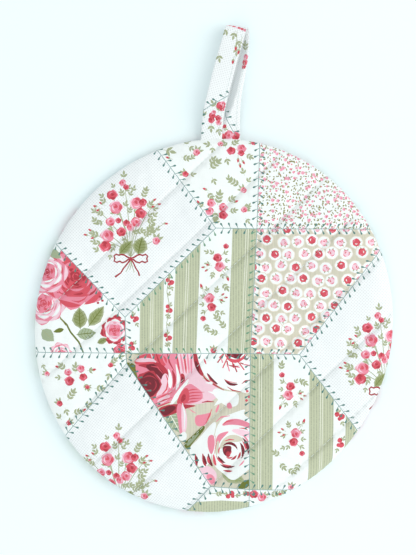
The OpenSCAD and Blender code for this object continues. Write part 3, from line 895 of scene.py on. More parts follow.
def burgundy_rose(pen):
    """Dark-hearted rose on the left, with its petals fading to pale pink on the right."""
    # Outer petals, from the top left clockwise
    pen.soft([(-44, -20), (-38, -14), (-10, -14), (-10, -24), (-15, -31), (-22, -40), (-30, -45), (-37, -40)],
             "pink")
    pen.soft([(-44, -20.5), (-41, -17), (-36, -15), (-26, -16), (-25, -21), (-30, -24), (-37, -22)], "coral")
    pen.soft([(-43.5, -19.5), (-40, -17.5), (-34, -17.5), (-30, -20), (-34, -19.5), (-39, -20)], "pink_light")
    pen.soft([(-42, -21.5), (-36, -20.5), (-32, -22.5), (-34, -24), (-38, -22.5)], "coral_dark")
    for x, tall, ink in ((-33, 4, "pink_light"), (-30, 5, "coral_dark"), (-27, 5, "pink"),
                         (-24, 6, "coral_dark")):
        pen.stroke([(x - 1.5, -14), (x, -14 - tall), (x + 2.5, -15 - 1.6 * tall)], 0.9, ink, ends=0.3)
    pen.soft([(-21, -14), (-9, -14), (-8, -20), (-5, -28), (-9, -31), (-15, -31), (-18, -26), (-20, -20)],
             "pink_light")
    for x, lean, ink in ((-20.5, 1.6, "coral"), (-18.3, 1.5, "pink"), (-16.4, 1.2, "coral"),
                         (-14.4, 0.8, "pink"), (-12.4, 0.2, "pink")):
        pen.stroke([(x, -14), (x + 0.5 * lean, -18.5), (x + lean, -23), (x + 1.2 * lean, -26)], 1.0, ink,
                   ends=0.3)
    # Petals round the heart
    pen.soft([(-37, -21), (-31, -20.5), (-26, -24.5), (-25, -31), (-28, -30), (-31, -26), (-36, -24)],
             "burgundy")
    pen.soft([(-34, -20), (-29, -20), (-24.5, -24.5), (-24, -30.5), (-26, -28), (-28.5, -23.5)], "coral_dark")
    pen.stroke([(-34, -22), (-30.5, -22.5), (-27.5, -26)], 0.8, "coral", ends=0.3)
    pen.soft([(-29.5, -33), (-27.5, -26), (-25, -26), (-24, -31), (-25, -36), (-28, -39.5), (-32, -39.5)],
             "pink_light")
    pen.stroke([(-26, -26.5), (-24.6, -30), (-25.6, -34.5), (-29, -38.5)], 0.9, "coral", ends=0.3)
    pen.soft([(-25, -22.5), (-23, -26), (-22.3, -31), (-23.5, -35), (-25, -31), (-24.3, -27)], "white")
    pen.soft([(-23, -23), (-20.5, -27), (-20.5, -31.5), (-22.3, -34.5), (-22, -29)], "coral_dark")
    pen.soft([(-21, -19.5), (-19.5, -23), (-18, -29), (-19.5, -35), (-21, -36.5), (-19.8, -29)], "white")
    pen.soft([(-18.3, -26), (-16, -26), (-15.5, -30), (-18, -33), (-17.6, -29)], "coral_dark")
    pen.soft([(-17.6, -27.5), (-16.6, -28), (-17, -31.5), (-18, -32)], "burgundy")
    pen.soft([(-32, -38.5), (-26, -36.5), (-22, -35.5), (-24, -39.5), (-29, -43.5), (-33, -43)], "pink")
    pen.soft([(-31, -40.5), (-26, -38), (-23, -37.5), (-26, -41.5), (-30, -43)], "pink_light")
    for y in (-37.6, -40.2, -42.4):
        pen.stroke([(-31.5, y - 2.2), (-27, y - 0.2), (-22.5, y + 1.4)], 0.8, "coral", ends=0.3)
    pen.soft([(-14.5, -29), (-13.2, -29), (-16, -35), (-21, -41.5), (-24.5, -44.5), (-22.5, -39)], "white")
    pen.stroke([(-14, -28.6), (-17.5, -31.5), (-20.8, -36), (-23.6, -42)], 0.6, "pink", ends=0.3)
    # The broad petal on the right, from coral at its foot to pale pink
    pen.soft([(-13, -29), (-8, -27.5), (-2, -31), (4, -35), (1, -40), (-5, -42), (-14, -43), (-20, -43)],
             "pink_light")
    pen.soft([(-17, -34), (-13, -31), (-10, -33), (-6, -36), (-6, -40), (-11, -42), (-17, -43), (-21, -43)],
             "pink")
    pen.soft([(-18, -36), (-14.5, -33), (-13, -37), (-13.5, -41.5), (-18, -43), (-20.5, -42)], "coral")
    pen.soft([(-17.5, -38), (-15.4, -36.5), (-15, -40), (-18, -42)], "coral_dark")
    for y, reach in ((-34.4, -8.5), (-36.0, -5.2), (-37.7, -7.0), (-39.2, -5.8), (-40.8, -8.5)):
        pen.stroke([(-16, y - 1.2), (-11.5, y - 0.2), (reach, y)], 0.75, "coral", ends=0.25)
    pen.stroke([(-6.5, -41.6), (-3.5, -41.0), (0, -41.3)], 0.9, "coral_dark", ends=0.4)
    # Folded petals below
    pen.soft([(-31, -45), (-24, -42.5), (-17, -42.5), (-8, -43.2), (-15, -44.8), (-22, -48), (-28, -50)],
             "coral_dark")
    pen.soft([(-29.5, -46), (-24, -43), (-19.5, -44), (-24, -48), (-27, -49)], "burgundy")
    pen.soft([(-19, -41), (-15, -45), (-14.6, -52), (-16, -58), (-18.6, -59), (-19.2, -52), (-20.5, -46)],
             "pink")
    pen.soft([(-17.6, -41.5), (-15, -46), (-14.3, -52), (-15.4, -58.5), (-17.2, -58.5), (-17.6, -50)],
             "pink_light")
    pen.stroke([(-17, -42), (-15.7, -48), (-16, -56)], 0.9, "white", ends=0.4)
    pen.soft([(-17.5, -57.5), (-14.8, -57.5), (-14.6, -61.5), (-17, -62.5), (-19.4, -61.5)], "white")
    pen.stroke([(-14, -44.5), (-11.5, -46.5), (-9.5, -47.5)], 0.6, "pink", ends=0.3)
    # Heart
    pen.blob((-35.3, -31.8), 6.7, "coral_dark", lobes=5, depth=0.08, squash=1.1)
    pen.blob((-35.0, -32.0), 5.6, "burgundy", lobes=4, depth=0.08, squash=1.15)
    for k in range(5):
        pen.crescent((-35.0, -32.0), 1.0 + 0.95 * k, 0.6, 1.7 * k, 1.7 * k + 1.9, "coral_dark")
    pen.soft([(-40, -37), (-35, -39.5), (-30, -36), (-33, -41), (-37, -41)], "coral")


def dashes(pen, around, marks):
    """Curved brush marks round a rose's heart: (reach, thickness, start, end, ink)."""
    for reach, thick, start, end, ink in marks:
        pen.crescent(around, reach, thick, start, end, ink, count=8)


def upper_white_rose(pen):
    """White rose whose heart the seam cuts, with coral and burgundy marks between its petals."""
    pen.soft([(-11.5, -14), (-9.5, -14), (-8, -21), (-5, -27), (-7, -27.5), (-10.5, -22.5)], "coral_dark")
    pen.soft([(-10.6, -19.5), (-9.3, -19), (-8, -23.5), (-7.2, -27), (-9.6, -23.5)], "burgundy")
    pen.stroke([(-8, -24.5), (-4, -29.5), (1, -32.5), (5.5, -35)], 0.9, "coral_dark", ends=0.4)
    pen.soft([(-9.5, -13), (21, -13), (21, -37), (14, -36), (6, -34.5), (1, -32), (-5, -27.5), (-8, -21)],
             "white")
    pen.soft([(1, -33.5), (6, -35.5), (13.5, -36), (13.5, -42), (11.5, -44), (7, -44), (3, -41), (-1.5, -36)],
             "white")
    for spike in ([(2, -36), (-3.5, -35.6), (1.5, -38)], [(3, -39), (0, -43.5), (5, -41.5)],
                  [(-1, -32), (-5, -31), (0, -30)]):
        pen.put(spike, "white")
    pen.soft([(7, -42.0), (9.0, -41.4), (10.2, -45), (7, -45)], "pink")
    pen.soft([(0.5, -46.5), (2.2, -42.6), (3.2, -43.2), (1.6, -47.5)], "pink")
    pen.soft([(-4.2, -25.5), (-2.8, -26.2), (-0.5, -29), (2.8, -32), (0.2, -31.6), (-2.6, -29)], "burgundy")
    pen.stroke([(-3.8, -26), (-2, -29.5), (1.5, -32)], 0.6, "coral", ends=0.3)
    pen.soft([(5, -28.5), (8, -31), (13.8, -31.5), (11, -32.8), (7.5, -32.2)], "burgundy")
    pen.stroke([(5.4, -29), (8, -30.4), (12.4, -31)], 0.6, "coral", ends=0.3)
    pen.stroke([(7, -33), (10, -35), (15, -36)], 0.8, "coral_dark", ends=0.3)
    pen.stroke([(15, -31.5), (17, -30), (20, -29.6)], 0.9, "coral_dark", ends=0.3)
    pen.stroke([(-5.4, -18), (-4.8, -19.5), (-4.2, -21)], 1.0, "coral", ends=0.3)
    for x, y in ((18, -35.5), (19, -38.5), (17.6, -40.5)):
        pen.blob((x, y), 0.8, "coral", lobes=3, depth=0.2, count=7)
    heart = (11.5, -13.5)
    for k in range(16):
        angle = 3.35 + 0.175 * k
        near, far = 5.6 + 1.6 * (k % 3), 9.5 + 2.2 * (k % 2)
        ink = ("coral", "coral_dark", "pink")[k % 3]
        pen.stroke([away(heart, near, angle), away(heart, far, angle + 0.22)], 1.7, ink, ends=0.4)
    dashes(pen, heart, [(5.8, 1.9, 3.3, 6.1, "coral"), (8.6, 0.8, 4.2, 5.0, "coral_dark"),
                        (8.8, 0.8, 5.2, 6.0, "white")])
    pen.blob(heart, 5.2, "burgundy", lobes=5, depth=0.12, squash=0.85)
    dashes(pen, heart, [(3.2, 0.9, 3.4, 4.6, "coral_dark"), (2.2, 0.9, 5.0, 6.2, "coral_dark")])


def lower_white_rose(pen):
    """White rose at the bottom, with pink between its petals."""
    pen.soft([(-17, -64), (-12, -60), (-5.5, -53.5), (-4.5, -56), (-12, -64), (-14, -68)], "leaf_dark")
    pen.soft([(-15, -63.5), (-9, -58.5), (-7.5, -58), (-12, -63.5), (-14.5, -65.5)], "leaf_grey")
    pen.soft([(-10.5, -48.5), (-6, -48.2), (-0.6, -46.6), (-3.5, -52), (-5, -54.5), (-10, -54.5)], "pink")
    pen.stroke([(-1, -45), (-2.6, -49), (-4.4, -53)], 0.8, "coral", ends=0.3)
    pen.leaf((4, -79), 14, 8, -0.4, "leaf", veins="leaf_grey")
    pen.leaf((13, -88), 10, 4, 0.5, "leaf_dark")
    pen.soft([(-8.5, -76), (-3, -75.5), (1.5, -79), (1.5, -84), (-0.5, -87.5), (-6, -82)], "pink_light")
    pen.soft([(-5, -81), (-1.5, -80), (1.0, -83), (-0.5, -87.5)], "pink")
    # White petals behind
    pen.soft([(-14.5, -67), (-8, -61), (-1, -52.5), (1.5, -52), (0.5, -58), (-1.5, -63), (-1, -71), (-4, -77),
              (-10, -76)], "white")
    pen.soft([(1.5, -54.5), (5, -49.5), (11, -47), (17.6, -44.8), (15.5, -48), (20, -50.5), (21, -60),
              (21, -76), (15, -81), (10, -84.5), (5, -80), (0, -76), (-1.5, -68), (0.5, -59)], "white")
    pen.stroke([(1.2, -52), (4, -49.5), (8.6, -48.8)], 0.9, "pink", ends=0.3)
    # Pink and shaded petals over the heart
    pen.soft([(3.5, -54.5), (7, -51), (12, -50.2), (17, -51.5), (21, -54), (21, -56.5), (15, -54),
              (9, -53.5)], "pink")
    pen.stroke([(4.6, -53.5), (7, -51.8), (10.5, -51.4)], 0.8, "coral", ends=0.3)
    pen.soft([(8.5, -56.6), (12, -55.8), (16, -56.4), (21, -58), (21, -61), (15, -60)], "pink_light")
    pen.stroke([(13.6, -55.4), (16.4, -55.6), (18.4, -56.6)], 0.8, "coral", ends=0.3)
    pen.soft([(1.0, -61), (3, -58.2), (8.8, -56.8), (6, -59.5), (3.6, -62), (2.0, -66)], "pink")
    pen.soft([(2.6, -67), (4.2, -62.2), (8, -59), (13, -59.2), (16.6, -62), (13, -63), (8, -63), (5, -66)],
             "taupe")
    pen.stroke([(5.8, -62.4), (8.4, -61.6), (11, -61.8)], 0.8, "coral", ends=0.4)
    pen.soft([(-3.5, -60), (-0.5, -58.6), (0.6, -62), (0.2, -66.5), (-1.4, -70.5), (-3.4, -66)], "pink")
    pen.soft([(1.6, -62.5), (2.8, -62), (2.6, -67), (1.4, -71), (0.4, -68)], "taupe")
    pen.stroke([(0.9, -59.5), (1.2, -64), (0.2, -69.5)], 0.5, "coral", ends=0.3)
    # Streaks between the petals on the left
    for x, tall, lean, ink in ((-9.6, 8.5, 0.9, "coral_dark"), (-9.0, 5.0, 0.3, "burgundy"),
                               (-5.6, 9.0, 1.8, "coral_dark"), (-4.9, 6.0, 1.4, "burgundy"),
                               (-2.6, 9.0, 2.6, "burgundy"), (-3.0, 5.0, 0.8, "coral"),
                               (0.2, 8.0, 1.4, "coral")):
        pen.soft([(x - 0.7, -72.5 + tall / 2), (x + 0.6, -72.5 + 0.1 * tall), (x + lean, -72.5 - tall / 2),
                  (x - 0.8, -72.5 - 0.2 * tall)], ink)
    # Curled petals round the heart
    heart = (8.2, -68.2)
    dashes(pen, heart, [
        (4.6, 1.5, 0.2, 2.4, "burgundy"), (7.6, 1.8, 5.75, 7.0, "burgundy"),
        (6.0, 1.2, 5.5, 6.3, "coral_dark"), (10.4, 1.8, 6.1, 7.1, "burgundy"), (9.2, 0.9, 6.3, 7.0, "coral"),
        (6.4, 1.5, 3.5, 4.4, "burgundy"), (7.2, 0.8, 3.4, 4.3, "coral"), (8.4, 1.4, 4.1, 5.1, "burgundy"),
        (7.6, 0.8, 4.1, 4.9, "coral"), (10.6, 1.1, 4.4, 4.9, "coral_dark"),
        (4.4, 1.2, 4.9, 5.9, "coral_dark"), (3.4, 0.9, 4.2, 5.4, "coral"), (11.6, 1.0, 0.4, 0.9, "pink"),
        (9.4, 0.8, 5.3, 5.8, "pink"), (5.6, 0.7, 2.6, 3.4, "coral"),
    ])
    pen.soft([(4.6, -65.2), (7.4, -64.8), (9.6, -65.2), (9.4, -67.4), (8.6, -70.2), (6.2, -70.6),
              (4.8, -68.6)], "burgundy")
    pen.soft([(6.2, -69), (7.6, -67.6), (9.2, -69), (8.4, -71.2), (6.6, -71)], "coral_dark")
    dashes(pen, (7.0, -67.6), [(1.5, 0.6, 1.6, 3.6, "coral_dark"), (2.4, 0.6, 5.0, 6.4, "coral")])


def patch_k(design):
    """Lower right: sage stripes, with sprigs and berries between them."""
    design.start_patch([*meets("g h"), CORNER_K, *meets("low")])
    for left, right in ((18.4, 32.5), (51.9, 65.1), (71.7, 84.5)):
        sage_stripe(design, left, right, 0.01)
    sprig(Pen(design, (41.4, -32.9)))
    sprig(Pen(design, (43.0, -63.0), turn=math.pi))
    pen = Pen(design)
    pen.single_roses([(41.8, -87.8, 1.8, "pink", 1.4)])
    pen.like_sprays([(36, -70.5, 2.6), (35.5, -74, -0.9), (46, -74, -1.9), (39.5, -77.5, -0.5),
                     (36.0, -24.5, 1.4), (46.0, -29.5, -0.5)], pairs=2, size=1.0)
    for x, y, turn in ((67.8, -48.6, 0.4), (68.6, -63.4, -0.4)):
        berries(Pen(design, (x, y), turn=turn, size=1.1), turn)


def patch_l(design):
    """Bottom: sprays and berries above a sage stripe."""
    design.start_patch([*meets("l low"), BOTTOM_K, (-20.0, -150.0), LOW_I])
    design.shape([(-20, -96.0), (4, -94.6), (20, -95.6), (20, -FAR), (-20, -FAR)], "sage", ground="rib")
    pen = Pen(design)
    pen.stroke([(-3, -91), (4, -90.4), (11, -92), (19, -90.6)], 0.4, "leaf")
    pen.like_sprays([(0.5, -91.5, 0.2), (14.8, -91.4, 0.2)], pairs=2, size=0.8)
    berries(Pen(design, (8.6, -91.6), turn=1.5, size=1.0), 0.3)
    berries(Pen(design, (17.6, -90.9), turn=1.2, size=0.6), 0.3)


def patch_m(design):
    """Bottom right: sprays and two roses."""
    design.start_patch([*meets("low"), RIGHT_M, (FAR, -FAR), BOTTOM_K])
    pen = Pen(design)
    pen.like_sprays([(24, -93, 0.3), (30, -91.8, 0.1), (34, -92.6, 0.5)], pairs=2, size=1.1)
    pen.rose((21.6, -91.2), 2.6, "red", turn=0.3)
    pen.rose((26.0, -93.0), 2.7, "pink", turn=1.4)
    pen.bud((36, -91.6), 1.0, 0.2)


def blanket_stitches(design, start, end, inks):
    """Printed seam line with drop-shaped stitches that lean towards its end, on both its sides."""
    design.shapes = design.seams
    length = math.dist(start, end)
    pen = Pen(design, start, turn=math.atan2(end[1] - start[1], end[0] - start[0]))
    pen.put([(0, -0.17), (length, -0.17), (length, 0.17), (0, 0.17)], "teal_line")
    pitch = 4.15
    for k in range(int(length / pitch)):
        for side, ink in zip((1, -1), inks, strict=True):
            if ink is None:
                continue
            x = (k + 0.4) * pitch + design.random.uniform(-0.25, 0.25)
            lean = design.random.uniform(0.95, 1.2)
            stitch = Pen(design, pen.place((x, side * 0.25)), turn=pen.turn + side * lean)
            half = [(0, 0.12), (1.0, 0.16), (1.9, 0.42), (2.5, 0.52), (2.9, 0.34), (3.05, 0)]
            stitch.put(half + [(u, -v) for u, v in half[-2::-1]], ink)


def patchwork():
    """The whole printed patchwork, patch by patch, with its printed seams on top."""
    design = Design()
    for patch in (patch_a, patch_b, patch_c, patch_d, patch_e, patch_f, patch_g, patch_h, patch_i, patch_j,
                  patch_k, patch_l, patch_m):
        patch(design)
    for start, end, inks in SEAMS:
        blanket_stitches(design, start, end, inks)
    return design


# ---------------------------------------------------------------- printed sheets

# Kinds of ground under the print, as the three weights that the cotton's material reads
GROUNDS = {"plain": (0, 0, 0), "pique": (1, 0, 0), "rib": (0, 1, 0), "streak": (0, 0, 1)}
# A shape larger than this may cross the sheet without a corner on it
LARGE_SHAPE = 15
PAST_SIDE = 0.3
EDGE_STEP = 1.8
SAME_POINT = 1e-4


def inside(points, polygon):
    """Which points lie inside a polygon."""
    result = np.zeros(len(points), bool)
    for a, b in zip(polygon, np.roll(polygon, -1, axis=0), strict=True):
        spans = (a[1] > points[:, 1]) != (b[1] > points[:, 1])
        rise = b[1] - a[1] if b[1] != a[1] else 1.0
        result ^= spans & (points[:, 0] < a[0] + (points[:, 1] - a[1]) / rise * (b[0] - a[0]))
    return result


def clipped(points, polygon):
    """Shape cut off just past the sides of a convex patch."""
    turn = np.sign(cross(polygon[1] - polygon[0], polygon[2] - polygon[1]))
    for a, b in zip(polygon, np.roll(polygon, -1, axis=0), strict=True):
        depth = turn * cross(b - a, points - a) / np.linalg.norm(b - a) + PAST_SIDE
        kept = []
        for p, q, at_p, at_q in zip(points, np.roll(points, -1, axis=0), depth, np.roll(depth, -1),
                                    strict=True):
            if at_p > 0:
                kept.append(p)
            if (at_p > 0) != (at_q > 0):
                kept.append(p + (q - p) * at_p / (at_p - at_q))
        if len(kept) < 3:
            return None
        points = np.array(kept)
    return points


def cross(p, q):
    """Upright part of the cross product of flat directions."""
    return p[..., 0] * q[..., 1] - p[..., 1] * q[..., 0]


def showing(shapes, polygon, outline):
    """The parts of the shapes that may show on a patch of the cut sheet."""
    kept = []
    for shape in shapes:
        points = clipped(shape["points"], polygon)
        if points is None:
            continue
        large = np.ptp(points, axis=0).max() > LARGE_SHAPE
        if large or inside(points, outline).any():
            kept.append({**shape, "points": points})
    return kept


def divided(loop):
    """Loop with its long edges cut into short ones, so that they can follow the relief of the cloth."""
    pieces = []
    for a, b in zip(loop, np.roll(loop, -1, axis=0), strict=True):
        count = max(int(math.ceil(np.linalg.norm(b - a) / EDGE_STEP)), 1)
        pieces.append(a + (b - a) * (np.arange(count) / count)[:, None])
    return np.concatenate(pieces)


class Faces:
    """Middles of the triangles of one patch, in order of x, to find those inside a shape quickly."""

    def __init__(self, numbers, middles):
        order = np.argsort(middles[numbers, 0])
        self.numbers = numbers[order]
        self.middles = middles[self.numbers]

    def within(self, polygon):
        """Numbers of the triangles whose middles lie inside a polygon."""
        low, high = polygon.min(axis=0), polygon.max(axis=0)
        first, last = np.searchsorted(self.middles[:, 0], (low[0], high[0]))
        near = self.middles[first:last]
        chosen = np.flatnonzero((near[:, 1] > low[1]) & (near[:, 1] < high[1]))
        return self.numbers[first + chosen[inside(near[chosen], polygon)]]


def triangulated(loops, relief, outline):
    """Points and triangles of a cut sheet whose edges follow the loops and that has the relief points."""
    loops = [divided(loop) for loop in loops]
    edges = []
    count = 0
    for loop in loops:
        numbers = np.arange(count, count + len(loop))
        edges.append(np.column_stack([numbers, np.roll(numbers, -1)]))
        count += len(loop)
    points = [Vector(p) for p in np.concatenate([*loops, relief])]
    found = delaunay_2d_cdt(points, np.concatenate(edges).tolist(), [], 0, SAME_POINT, False)
    flat = np.array([tuple(p) for p in found[0]])
    corners = np.array(found[2])
    kept = inside(flat[corners].mean(axis=1), outline)
    used, corners = np.unique(corners[kept], return_inverse=True)
    return flat[used], corners.reshape(-1, 3)


def printed_cut(design, outline, relief):
    """Flat triangulation of a printed sheet with the given outline: its points, triangles and their inks.
    relief are extra points that the sheet needs for its shape."""
    for shape in [*design.patches, *design.seams,
                  *(shape for patch in design.patches for shape in patch["shapes"])]:
        shape["points"] = np.array(shape["points"], float)
    for patch in design.patches:
        patch["shapes"] = showing(patch["shapes"], patch["points"], outline)
    loops = [outline]
    for patch in design.patches:
        loops += [patch["points"], *(shape["points"] for shape in patch["shapes"])]
    loops += [shape["points"] for shape in design.seams]
    flat, corners = triangulated(loops, relief, outline)
    middles = flat[corners].mean(axis=1)
    inks = np.ones((len(corners), 3))
    grounds = np.zeros((len(corners), 3))
    turns = np.zeros(len(corners))

    def ink_shapes(shapes, faces):
        for shape in shapes:
            covered = faces.within(shape["points"])
            inks[covered] = shape["colour"]
            grounds[covered] = GROUNDS[shape["ground"] or "plain"]

    for patch in design.patches:
        numbers = np.flatnonzero(inside(middles, patch["points"]))
        inks[numbers] = patch["colour"]
        grounds[numbers] = GROUNDS[patch["ground"]]
        turns[numbers] = patch["turn"]
        ink_shapes(patch["shapes"], Faces(numbers, middles))
    ink_shapes(design.seams, Faces(np.arange(len(corners)), middles))
    return {"flat": flat, "corners": corners, "inks": inks, "grounds": grounds, "turns": turns}


def link(name, mesh):
    """New object in the scene."""
    piece = bpy.data.objects.new(name, mesh)
    bpy.context.scene.collection.objects.link(piece)
    return piece


# Width of the painted shade beside each quilting row
PAINTED_CREASE_SHADE_WIDTH = 0.5


def ways_out(surface, flat, nudge):
    """Unit normals of a surface at flat points, from small steps to both sides."""
    step_x = surface(flat + [nudge, 0]) - surface(flat - [nudge, 0])
    step_y = surface(flat + [0, nudge]) - surface(flat - [0, nudge])
    normal = np.cross(step_x, step_y)
    return normal / np.maximum(np.linalg.norm(normal, axis=1), 1e-9)[:, None]


def add_attribute(mesh, name, kind, domain, key, values):
    """Values that the cloth's material reads from the mesh."""
    layer = mesh.attributes.new(name, kind, domain)
    layer.data.foreach_set(key, values.ravel())


def lay_sheet(name, cut, surface, flip=False, quilted=True):
    """Mesh object of a printed cut laid over surface, which gives the place in millimetres of flat points.
    A quilted cut gets an attribute of painted shade, which darkens the colour in the crease that the thread
    pulls into the cloth."""
    flat, corners = cut["flat"], cut["corners"]
    if flip:
        corners = corners[:, ::-1]
    mesh = bpy.data.meshes.new(name)
    mesh.from_pydata((surface(flat) * MM).tolist(), [], corners.tolist())
    mesh.shade_smooth()
    normal = ways_out(surface, flat, nudge=0.4) * (-1 if flip else 1)
    mesh.normals_split_custom_set_from_vertices(normal.tolist())
    places = flat[corners.reshape(-1)]
    turns = np.repeat(cut["turns"], 3)
    weave = np.column_stack([
        places[:, 0] * np.cos(turns) + places[:, 1] * np.sin(turns),
        places[:, 1] * np.cos(turns) - places[:, 0] * np.sin(turns),
        np.zeros(len(places)),
    ])
    for title, values in (("ink", cut["inks"]), ("ground", cut["grounds"])):
        rows = np.repeat(values, 3, axis=0)
        add_attribute(mesh, title, "FLOAT_COLOR", "CORNER", "color",
                      np.column_stack([rows, np.ones(len(rows))]))
    add_attribute(mesh, "weave", "FLOAT_VECTOR", "CORNER", "vector", weave)
    # Painted shade: the colour is darkened beside each quilting row, where the thread pulls the cloth into a
    # crease
    painted_crease_shade = np.exp(-((row_distance(flat)[0] / PAINTED_CREASE_SHADE_WIDTH) ** 2)) * quilted * (inset_from_rim(flat) > 0)
    add_attribute(mesh, "painted_crease_shade", "FLOAT", "POINT", "value", painted_crease_shade)
    return link(name, mesh)


TRIANGLE_HEIGHT = 0.866


def honeycomb(step, reach):
    """Even scatter of flat points inside a circle, at the corners of triangles with equal sides."""
    points = []
    rows = int(reach / (step * TRIANGLE_HEIGHT))
    for j in range(-rows, rows + 1):
        for i in range(-int(reach / step), int(reach / step) + 1):
            x, y = (i + 0.5 * (j % 2)) * step, j * step * TRIANGLE_HEIGHT
            if x * x + y * y < reach * reach:
                points.append((x, y))
    return np.array(points)


RIM_INSETS = (0.3, 0.7, 1.2, 1.9, 2.8, 4.0, 5.5, 7.2, 9.0, 11.0)
RING_POINTS = 320
FIELD_STEP = 2.4
FIELD_REACH = 120
FIELD_FROM_ROW = 1.9
LINE_OFFSETS = (-1.5, -0.75, 0.0, 0.75, 1.5)
LINE_STEP = 1.5
LINE_REACH = 105


def relief_points():
    """Flat points that carry a cover's shape: an even field, lines beside each quilting row and rings at
    the rim."""
    field = honeycomb(FIELD_STEP, FIELD_REACH)
    distance, _ = row_distance(field)
    deep = RIM_INSETS[-1] - CLOTH_GROW
    field = field[(inset_from_rim(field) > deep + 1) & (np.abs(distance) > FIELD_FROM_ROW)]
    steps = np.arange(-LINE_REACH, LINE_REACH, LINE_STEP)[:, None] * ALONG
    lines = []
    for number in range(-SIDE_ROWS, SIDE_ROWS + 1):
        for offset in LINE_OFFSETS:
            lines.append((ROW_OFFSET + number * ROW_PITCH + offset) * ACROSS + steps)
    lines = np.concatenate(lines)
    lines = lines[inset_from_rim(lines) > deep + 0.5]
    rings = [outline_points(RING_POINTS, CLOTH_GROW - inset) for inset in RIM_INSETS]
    return np.concatenate([field, lines, *rings])


# ---------------------------------------------------------------- filling layers

FILLING_STEP = 3.4
LINES_PER_ROW = 8
FILLING_INSET = 1.6
FILLING_RIM_POINTS = 150
FILLING_REACH = 110
CLOTH_ROOM = 0.55
LEAST_DEPTH = 0.1
# Rough top of a layer: height, seed and length of the waves. The layer under the front cover stays smooth
ROUGH_WAVES = (0.08, 31, 5)
SMOOTH_ABOVE = 0.9


def row_grid(reach):
    """Even scatter of flat points inside a circle, with a line of them on every quilting row."""
    points = []
    lines = ROW_PITCH / LINES_PER_ROW
    last = int(reach / min(lines, FILLING_STEP)) + 2
    for j in range(-last, last + 1):
        for i in range(-last, last + 1):
            point = (ROW_OFFSET + j * lines) * ACROSS + (i + 0.5 * (j % 2)) * FILLING_STEP * ALONG
            if point @ point < reach * reach:
                points.append(point)
    return np.array(points)


def filling_layer(name, low, high):
    """Closed sheet of filling between two shares of the height from the back cover to the front cover."""
    rim = outline_points(FILLING_RIM_POINTS, -FILLING_INSET)
    field = row_grid(FILLING_REACH)
    field = field[inset_from_rim(field) > FILLING_INSET + 0.6 * FILLING_STEP]
    points = np.concatenate([rim, field])
    found = delaunay_2d_cdt([Vector(p) for p in points], [], [list(range(len(rim)))], 1, SAME_POINT, True)
    flat = np.array([tuple(p) for p in found[0]])
    faces = [list(face) for face in found[2]]
    bottom_z = back_surface(flat)[:, 2] + CLOTH_ROOM
    top_z = front_surface(flat)[:, 2] - CLOTH_ROOM
    depth = np.maximum(top_z - bottom_z, LEAST_DEPTH)
    wave_height, seed, scale = ROUGH_WAVES
    rough = wave_height * soft_waves(flat, seed, scale)
    lower = np.column_stack([flat, bottom_z + low * depth])
    upper = np.column_stack([flat, bottom_z + high * depth + rough * (high < SMOOTH_ABOVE)])
    count = len(flat)
    edges = [edge for face in faces for edge in zip(face, face[1:] + face[:1], strict=True)]
    shared = set(edges)
    walls = [[a, b, b + count, a + count] for a, b in edges if (b, a) not in shared]
    turned = [face[::-1] for face in faces]
    raised = [[corner + count for corner in face] for face in faces]
    mesh = bpy.data.meshes.new(name)
    mesh.from_pydata((np.concatenate([lower, upper]) * MM).tolist(), [], turned + raised + walls)
    mesh.shade_smooth()
    return link(name, mesh)


# ---------------------------------------------------------------- threads

THREAD_RADIUS = 0.14
THREAD_SIDES = 7
THREAD_END, THREAD_SWELL = 0.55, 0.45
THREAD_TAPER = 0.08
STITCHES_EACH_WAY = 36
STITCH_FROM_RIM = 0.8
# How far each point of a stitch stands out of the cloth
QUILT_DIP = np.array([-0.32, 0.06, 0.14, 0.14, 0.06, -0.32])
TOPSTITCH_DIP = np.array([-0.25, 0.08, 0.14, 0.14, 0.08, -0.25])
STITCH_POINTS = len(QUILT_DIP)


def thread_radius(share):
    """Radius of a stitch at a share of its length. It thins towards its ends."""
    inner = min(max(share, THREAD_TAPER), 1 - THREAD_TAPER)
    return THREAD_RADIUS * (THREAD_END + THREAD_SWELL * math.sin(math.pi * inner) ** 0.4)


def stitches(name, paths, normals):
    """One object of short thread stitches. Each path has its points in millimetres, and normals has the way
    out of the cloth for each path."""
    sides = THREAD_SIDES
    vertices, faces = [], []
    for path, normal in zip(paths, normals, strict=True):
        count = len(path)
        start = len(vertices)
        for k, point in enumerate(path):
            radius = thread_radius(k / (count - 1))
            along = path[min(k + 1, count - 1)] - path[max(k - 1, 0)]
            along = along / np.linalg.norm(along)
            beside = np.cross(along, normal)
            beside = beside / np.linalg.norm(beside)
            out = np.cross(beside, along)
            for side in range(sides):
                a = TAU * side / sides
                vertices.append(point + radius * (math.cos(a) * beside + math.sin(a) * out))
        for k in range(count - 1):
            for side in range(sides):
                a, b = start + k * sides + side, start + k * sides + (side + 1) % sides
                faces.append([a, b, b + sides, a + sides])
        faces.append([start + side for side in range(sides)][::-1])
        faces.append([start + (count - 1) * sides + side for side in range(sides)])
    mesh = bpy.data.meshes.new(name)
    mesh.from_pydata((np.array(vertices) * MM).tolist(), [], faces)
    mesh.shade_smooth()
    return link(name, mesh)


